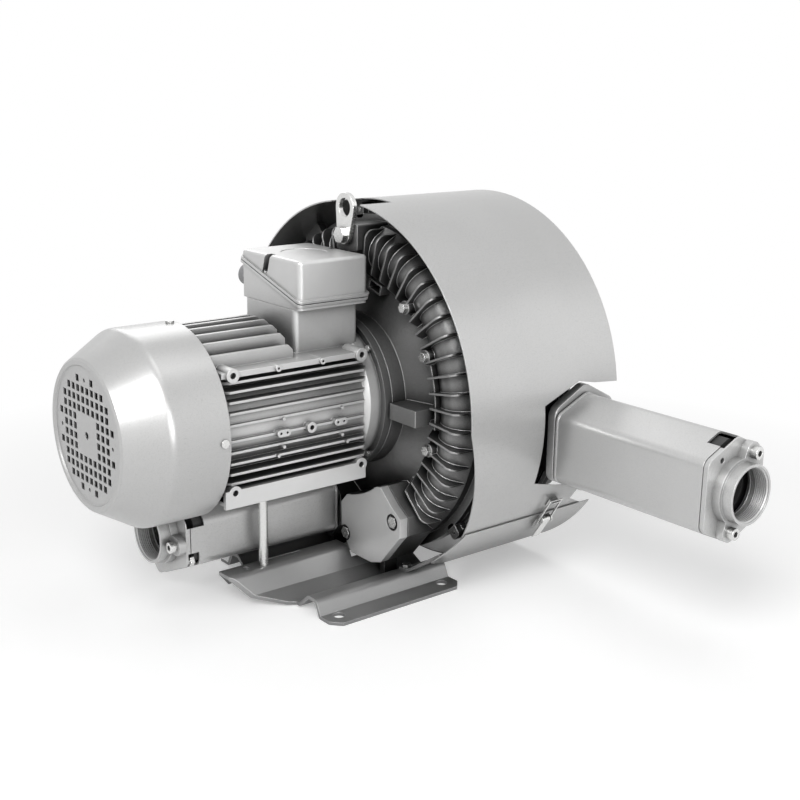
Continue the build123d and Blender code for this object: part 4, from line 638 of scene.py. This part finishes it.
def make_silencer(name, root):
    """Sleeve with its end cap, foam tube, root gasket and the bolt in its notched corner."""
    tail = SILENCER_LENGTH
    bore = arc((0, 0), BORE_R, 0, 354, 59)
    window = rectangle(*WINDOW)
    notch = rectangle(
        SIDE_HALF - NOTCH_HALF, SHOULDER - NOTCH_HALF, SIDE_HALF + NOTCH_HALF, SHOULDER + NOTCH_HALF,
    )
    mesh = bmesh.new()
    add_prism(mesh, silencer_section(), root, 0, tail - CAP_DEPTH)
    add_prism(mesh, silencer_section(-HEM_OUT), root, *HEM)
    sleeve = new_piece(f"{name}_sleeve", mesh, LIT_SLEEVE, 0.5, [f"{name}_silencer_body"])
    cut(sleeve, [
        (silencer_section(SILENCER_WALL), root, SILENCER_WALL, tail),
        (bore, root, -1, SILENCER_WALL + 1),
        (window, root, tail - WINDOW_DEPTH, tail + 1),
        (notch, root, tail - NOTCH_DEPTH, tail + 1),
    ])
    mesh = bmesh.new()
    add_prism(mesh, silencer_section(CAP_INSET), root, tail - CAP_DEPTH + CAP_SEAT, tail)
    cap = new_piece(f"{name}_end_cap", mesh, LIT_SLEEVE, 0.6)
    under = tail - CAP_DEPTH - 1
    cut(cap, [
        (bore, root, under, tail + 1),
        (window, root, under, tail - 1.5),
        (notch, root, under, tail - 2.5),
        (arc(CAP_HOLE, CAP_HOLE_R, 0, 345, 23), root, under, tail + 1),
    ])
    mesh = bmesh.new()
    add_prism(mesh, silencer_section(SILENCER_WALL + FOAM_GAP), root, FOAM_START, tail - FOAM_STOP)
    foam = new_piece(f"{name}_foam_tube", mesh, FOAM, 0.0, [f"{name}_silencer_foam"])
    cut(foam, [(bore, root, FOAM_START - 1, tail)])
    mesh = bmesh.new()
    add_prism(mesh, silencer_section(GASKET_INSET), root, -GASKET_T, 0)
    gasket = new_piece(f"{name}_root_gasket", mesh, RUBBER, 0.3, [f"{name}_gasket"])
    cut(gasket, [(bore, root, -GASKET_T - 0.5, 1)])
    mesh = bmesh.new()
    corner = Vector((SIDE_HALF - NOTCH_BOLT_INSET, SHOULDER - NOTCH_BOLT_INSET, 0))
    place = root @ Matrix.Translation(corner)
    add_prism(mesh, arc((0, 0), 6.6, 0, 300, 5), place, tail - 12, tail - 6.5)
    add_prism(mesh, arc((0, 0), 4, 0, 345, 15), place, tail - 6.5, tail - 2)
    new_piece(f"{name}_notch_bolt", mesh, ZINC, 0.4)


def make_thread(name, root):
    """Thread ridges and the inner ring of a silencer's collar."""
    mouth = SILENCER_LENGTH + COLLAR_LENGTH
    profile = [(mouth - 1, THREAD_WALL_R)]
    for k in range(THREAD_RIDGES):
        profile += [
            (mouth - 1.2 - k * THREAD_PITCH, THREAD_ROOT_R),
            (mouth - 1.2 - (k + 0.5) * THREAD_PITCH, THREAD_CREST_R),
        ]
    profile += [
        (mouth - 1.4 - THREAD_RIDGES * THREAD_PITCH, THREAD_ROOT_R),
        (mouth - 1.6 - THREAD_RIDGES * THREAD_PITCH, THREAD_WALL_R),
    ]
    mesh = bmesh.new()
    add_ring(mesh, profile, root, 96)
    outer, inner = INNER_RING
    low = SILENCER_LENGTH - INNER_RING_T
    add_ring(mesh, [(SILENCER_LENGTH, outer), (SILENCER_LENGTH, inner), (low, inner), (low, outer)], root, 96)
    new_piece(f"{name}_thread", mesh, CAST)


def make_lug():
    """Teardrop lifting lug with its eye."""
    lean = math.degrees(math.atan2(LUG_EYE[0] - LUG_FOOT[0], LUG_EYE[1] - LUG_FOOT[1]))
    tilt = math.degrees(math.asin((LUG_R - LUG_FOOT_R) / math.dist(LUG_EYE, LUG_FOOT)))
    outline = arc(LUG_EYE, LUG_R, -tilt - lean, 180 + tilt - lean, 24)
    outline += arc(LUG_FOOT, LUG_FOOT_R, 180 + tilt - lean, 360 - tilt - lean, 16)
    mesh = bmesh.new()
    low, high = LUG_X
    add_prism(mesh, outline, ACROSS, low, high)
    lug = new_piece("teardrop_lug", mesh, ZINC, 0.8, ["lifting_lug"])
    cut(lug, [(arc(LUG_EYE, LUG_HOLE_R, 0, 352.5, 47), ACROSS, low - 1, high + 1)])


# Stage
WORLD_LIGHT = 0.2
FLOOR_HALF = 14.0
FLOOR_TONE = 0.8
FLOOR_ROUGH = 0.9
FLOOR_GLOW = 0.33
FLOOR_CENTRE = (0.05, -0.05, 0.0)
FLOOR_NEAR = 0.45
FLOOR_FAR = 1.0
LAMPS = [
    ("key_lamp", (-1.6, -1.3, 1.9), (0.05, 0, 0.2), 1.1, 40),
    ("front_lamp", (-0.5, -2.5, 0.8), (0.0, 0, 0.2), 1.2, 22),
    ("top_lamp", (0.3, -0.5, 2.5), (0.05, 0, 0.2), 1.2, 6),
    ("fill_lamp", (1.9, -1.6, 1.0), (0.1, -0.1, 0.25), 1.8, 4),
    ("rim_lamp", (0.6, 2.0, 1.8), (0.05, 0, 0.25), 1.4, 12),
]


def backdrop_rays(tree):
    """One for the rays that show the background: camera, glossy and transmission rays."""
    path = tree.nodes.new("ShaderNodeLightPath")
    seen = path.outputs["Is Camera Ray"]
    for kind in ("Is Glossy Ray", "Is Transmission Ray"):
        either = tree.nodes.new("ShaderNodeMath")
        either.operation = "MAXIMUM"
        tree.links.new(seen, either.inputs[0])
        tree.links.new(path.outputs[kind], either.inputs[1])
        seen = either.outputs[0]
    return seen


def add_floor():
    """Pale floor that shows white to the camera and keeps the shadow."""
    mesh = bpy.data.meshes.new("floor")
    corners = rectangle(-FLOOR_HALF, -FLOOR_HALF, FLOOR_HALF, FLOOR_HALF)
    mesh.from_pydata([(x, y, 0) for x, y in corners], [], [(0, 1, 2, 3)])
    floor = bpy.data.objects.new("floor", mesh)
    bpy.context.scene.collection.objects.link(floor)
    material, tree, shader = new_material("floor_white")
    shader.inputs["Base Color"].default_value = (FLOOR_TONE, FLOOR_TONE, FLOOR_TONE, 1)
    shader.inputs["Roughness"].default_value = FLOOR_ROUGH
    shader.inputs["Specular IOR Level"].default_value = 0.0
    place = tree.nodes.new("ShaderNodeNewGeometry")
    reach = tree.nodes.new("ShaderNodeVectorMath")
    reach.operation = "DISTANCE"
    reach.inputs[1].default_value = FLOOR_CENTRE
    tree.links.new(place.outputs["Position"], reach.inputs[0])
    away = remap(tree, reach.outputs["Value"], 0, 1, FLOOR_NEAR, FLOOR_FAR)
    seeing = backdrop_rays(tree)
    seen = tree.nodes.new("ShaderNodeMath")
    seen.operation = "MULTIPLY"
    tree.links.new(seeing, seen.inputs[0])
    tree.links.new(away, seen.inputs[1])
    shader.inputs["Emission Color"].default_value = (1, 1, 1, 1)
    glow = tree.nodes.new("ShaderNodeMath")
    glow.operation = "MULTIPLY"
    glow.inputs[1].default_value = FLOOR_GLOW
    tree.links.new(seeing, glow.inputs[0])
    tree.links.new(glow.outputs[0], shader.inputs["Emission Strength"])
    white = tree.nodes.new("ShaderNodeEmission")
    white.inputs["Strength"].default_value = 1.0
    mix = tree.nodes.new("ShaderNodeMixShader")
    output = tree.nodes["Material Output"]
    tree.links.new(seen.outputs[0], mix.inputs[0])
    tree.links.new(shader.outputs[0], mix.inputs[1])
    tree.links.new(white.outputs[0], mix.inputs[2])
    tree.links.new(mix.outputs[0], output.inputs["Surface"])
    mesh.materials.append(material)


def add_world():
    """Soft grey light from all round; camera and reflections see a white backdrop."""
    world = bpy.data.worlds.new("world")
    world.use_nodes = True
    bpy.context.scene.world = world
    tree = world.node_tree
    tree.nodes.clear()
    output = tree.nodes.new("ShaderNodeOutputWorld")
    soft = tree.nodes.new("ShaderNodeBackground")
    soft.inputs["Color"].default_value = (1, 1, 1, 1)
    soft.inputs["Strength"].default_value = WORLD_LIGHT
    white = tree.nodes.new("ShaderNodeBackground")
    white.inputs["Color"].default_value = (1, 1, 1, 1)
    white.inputs["Strength"].default_value = 1.0
    mix = tree.nodes.new("ShaderNodeMixShader")
    tree.links.new(backdrop_rays(tree), mix.inputs[0])
    tree.links.new(soft.outputs[0], mix.inputs[1])
    tree.links.new(white.outputs[0], mix.inputs[2])
    tree.links.new(mix.outputs[0], output.inputs["Surface"])


def add_lamp(name, place, aim, size, power):
    """Square area lamp aimed at a point."""
    data = bpy.data.lights.new(name, "AREA")
    data.shape = "SQUARE"
    data.size = size
    data.energy = power
    lamp = bpy.data.objects.new(name, data)
    bpy.context.scene.collection.objects.link(lamp)
    lamp.location = place
    lamp.rotation_euler = (Vector(aim) - Vector(place)).to_track_quat("-Z", "Y").to_euler()


add_camera()
dress_nodes()
make_front_casing()
make_dish_details()
make_rear_casing()
for name, root in (("outlet", OUTLET_ROOT), ("inlet", INLET_ROOT)):
    make_silencer(name, root)
    make_thread(name, root)
make_lug()
add_floor()
add_world()
for lamp in LAMPS:
    add_lamp(*lamp)

bpy.context.scene.view_settings.view_transform = "Standard"
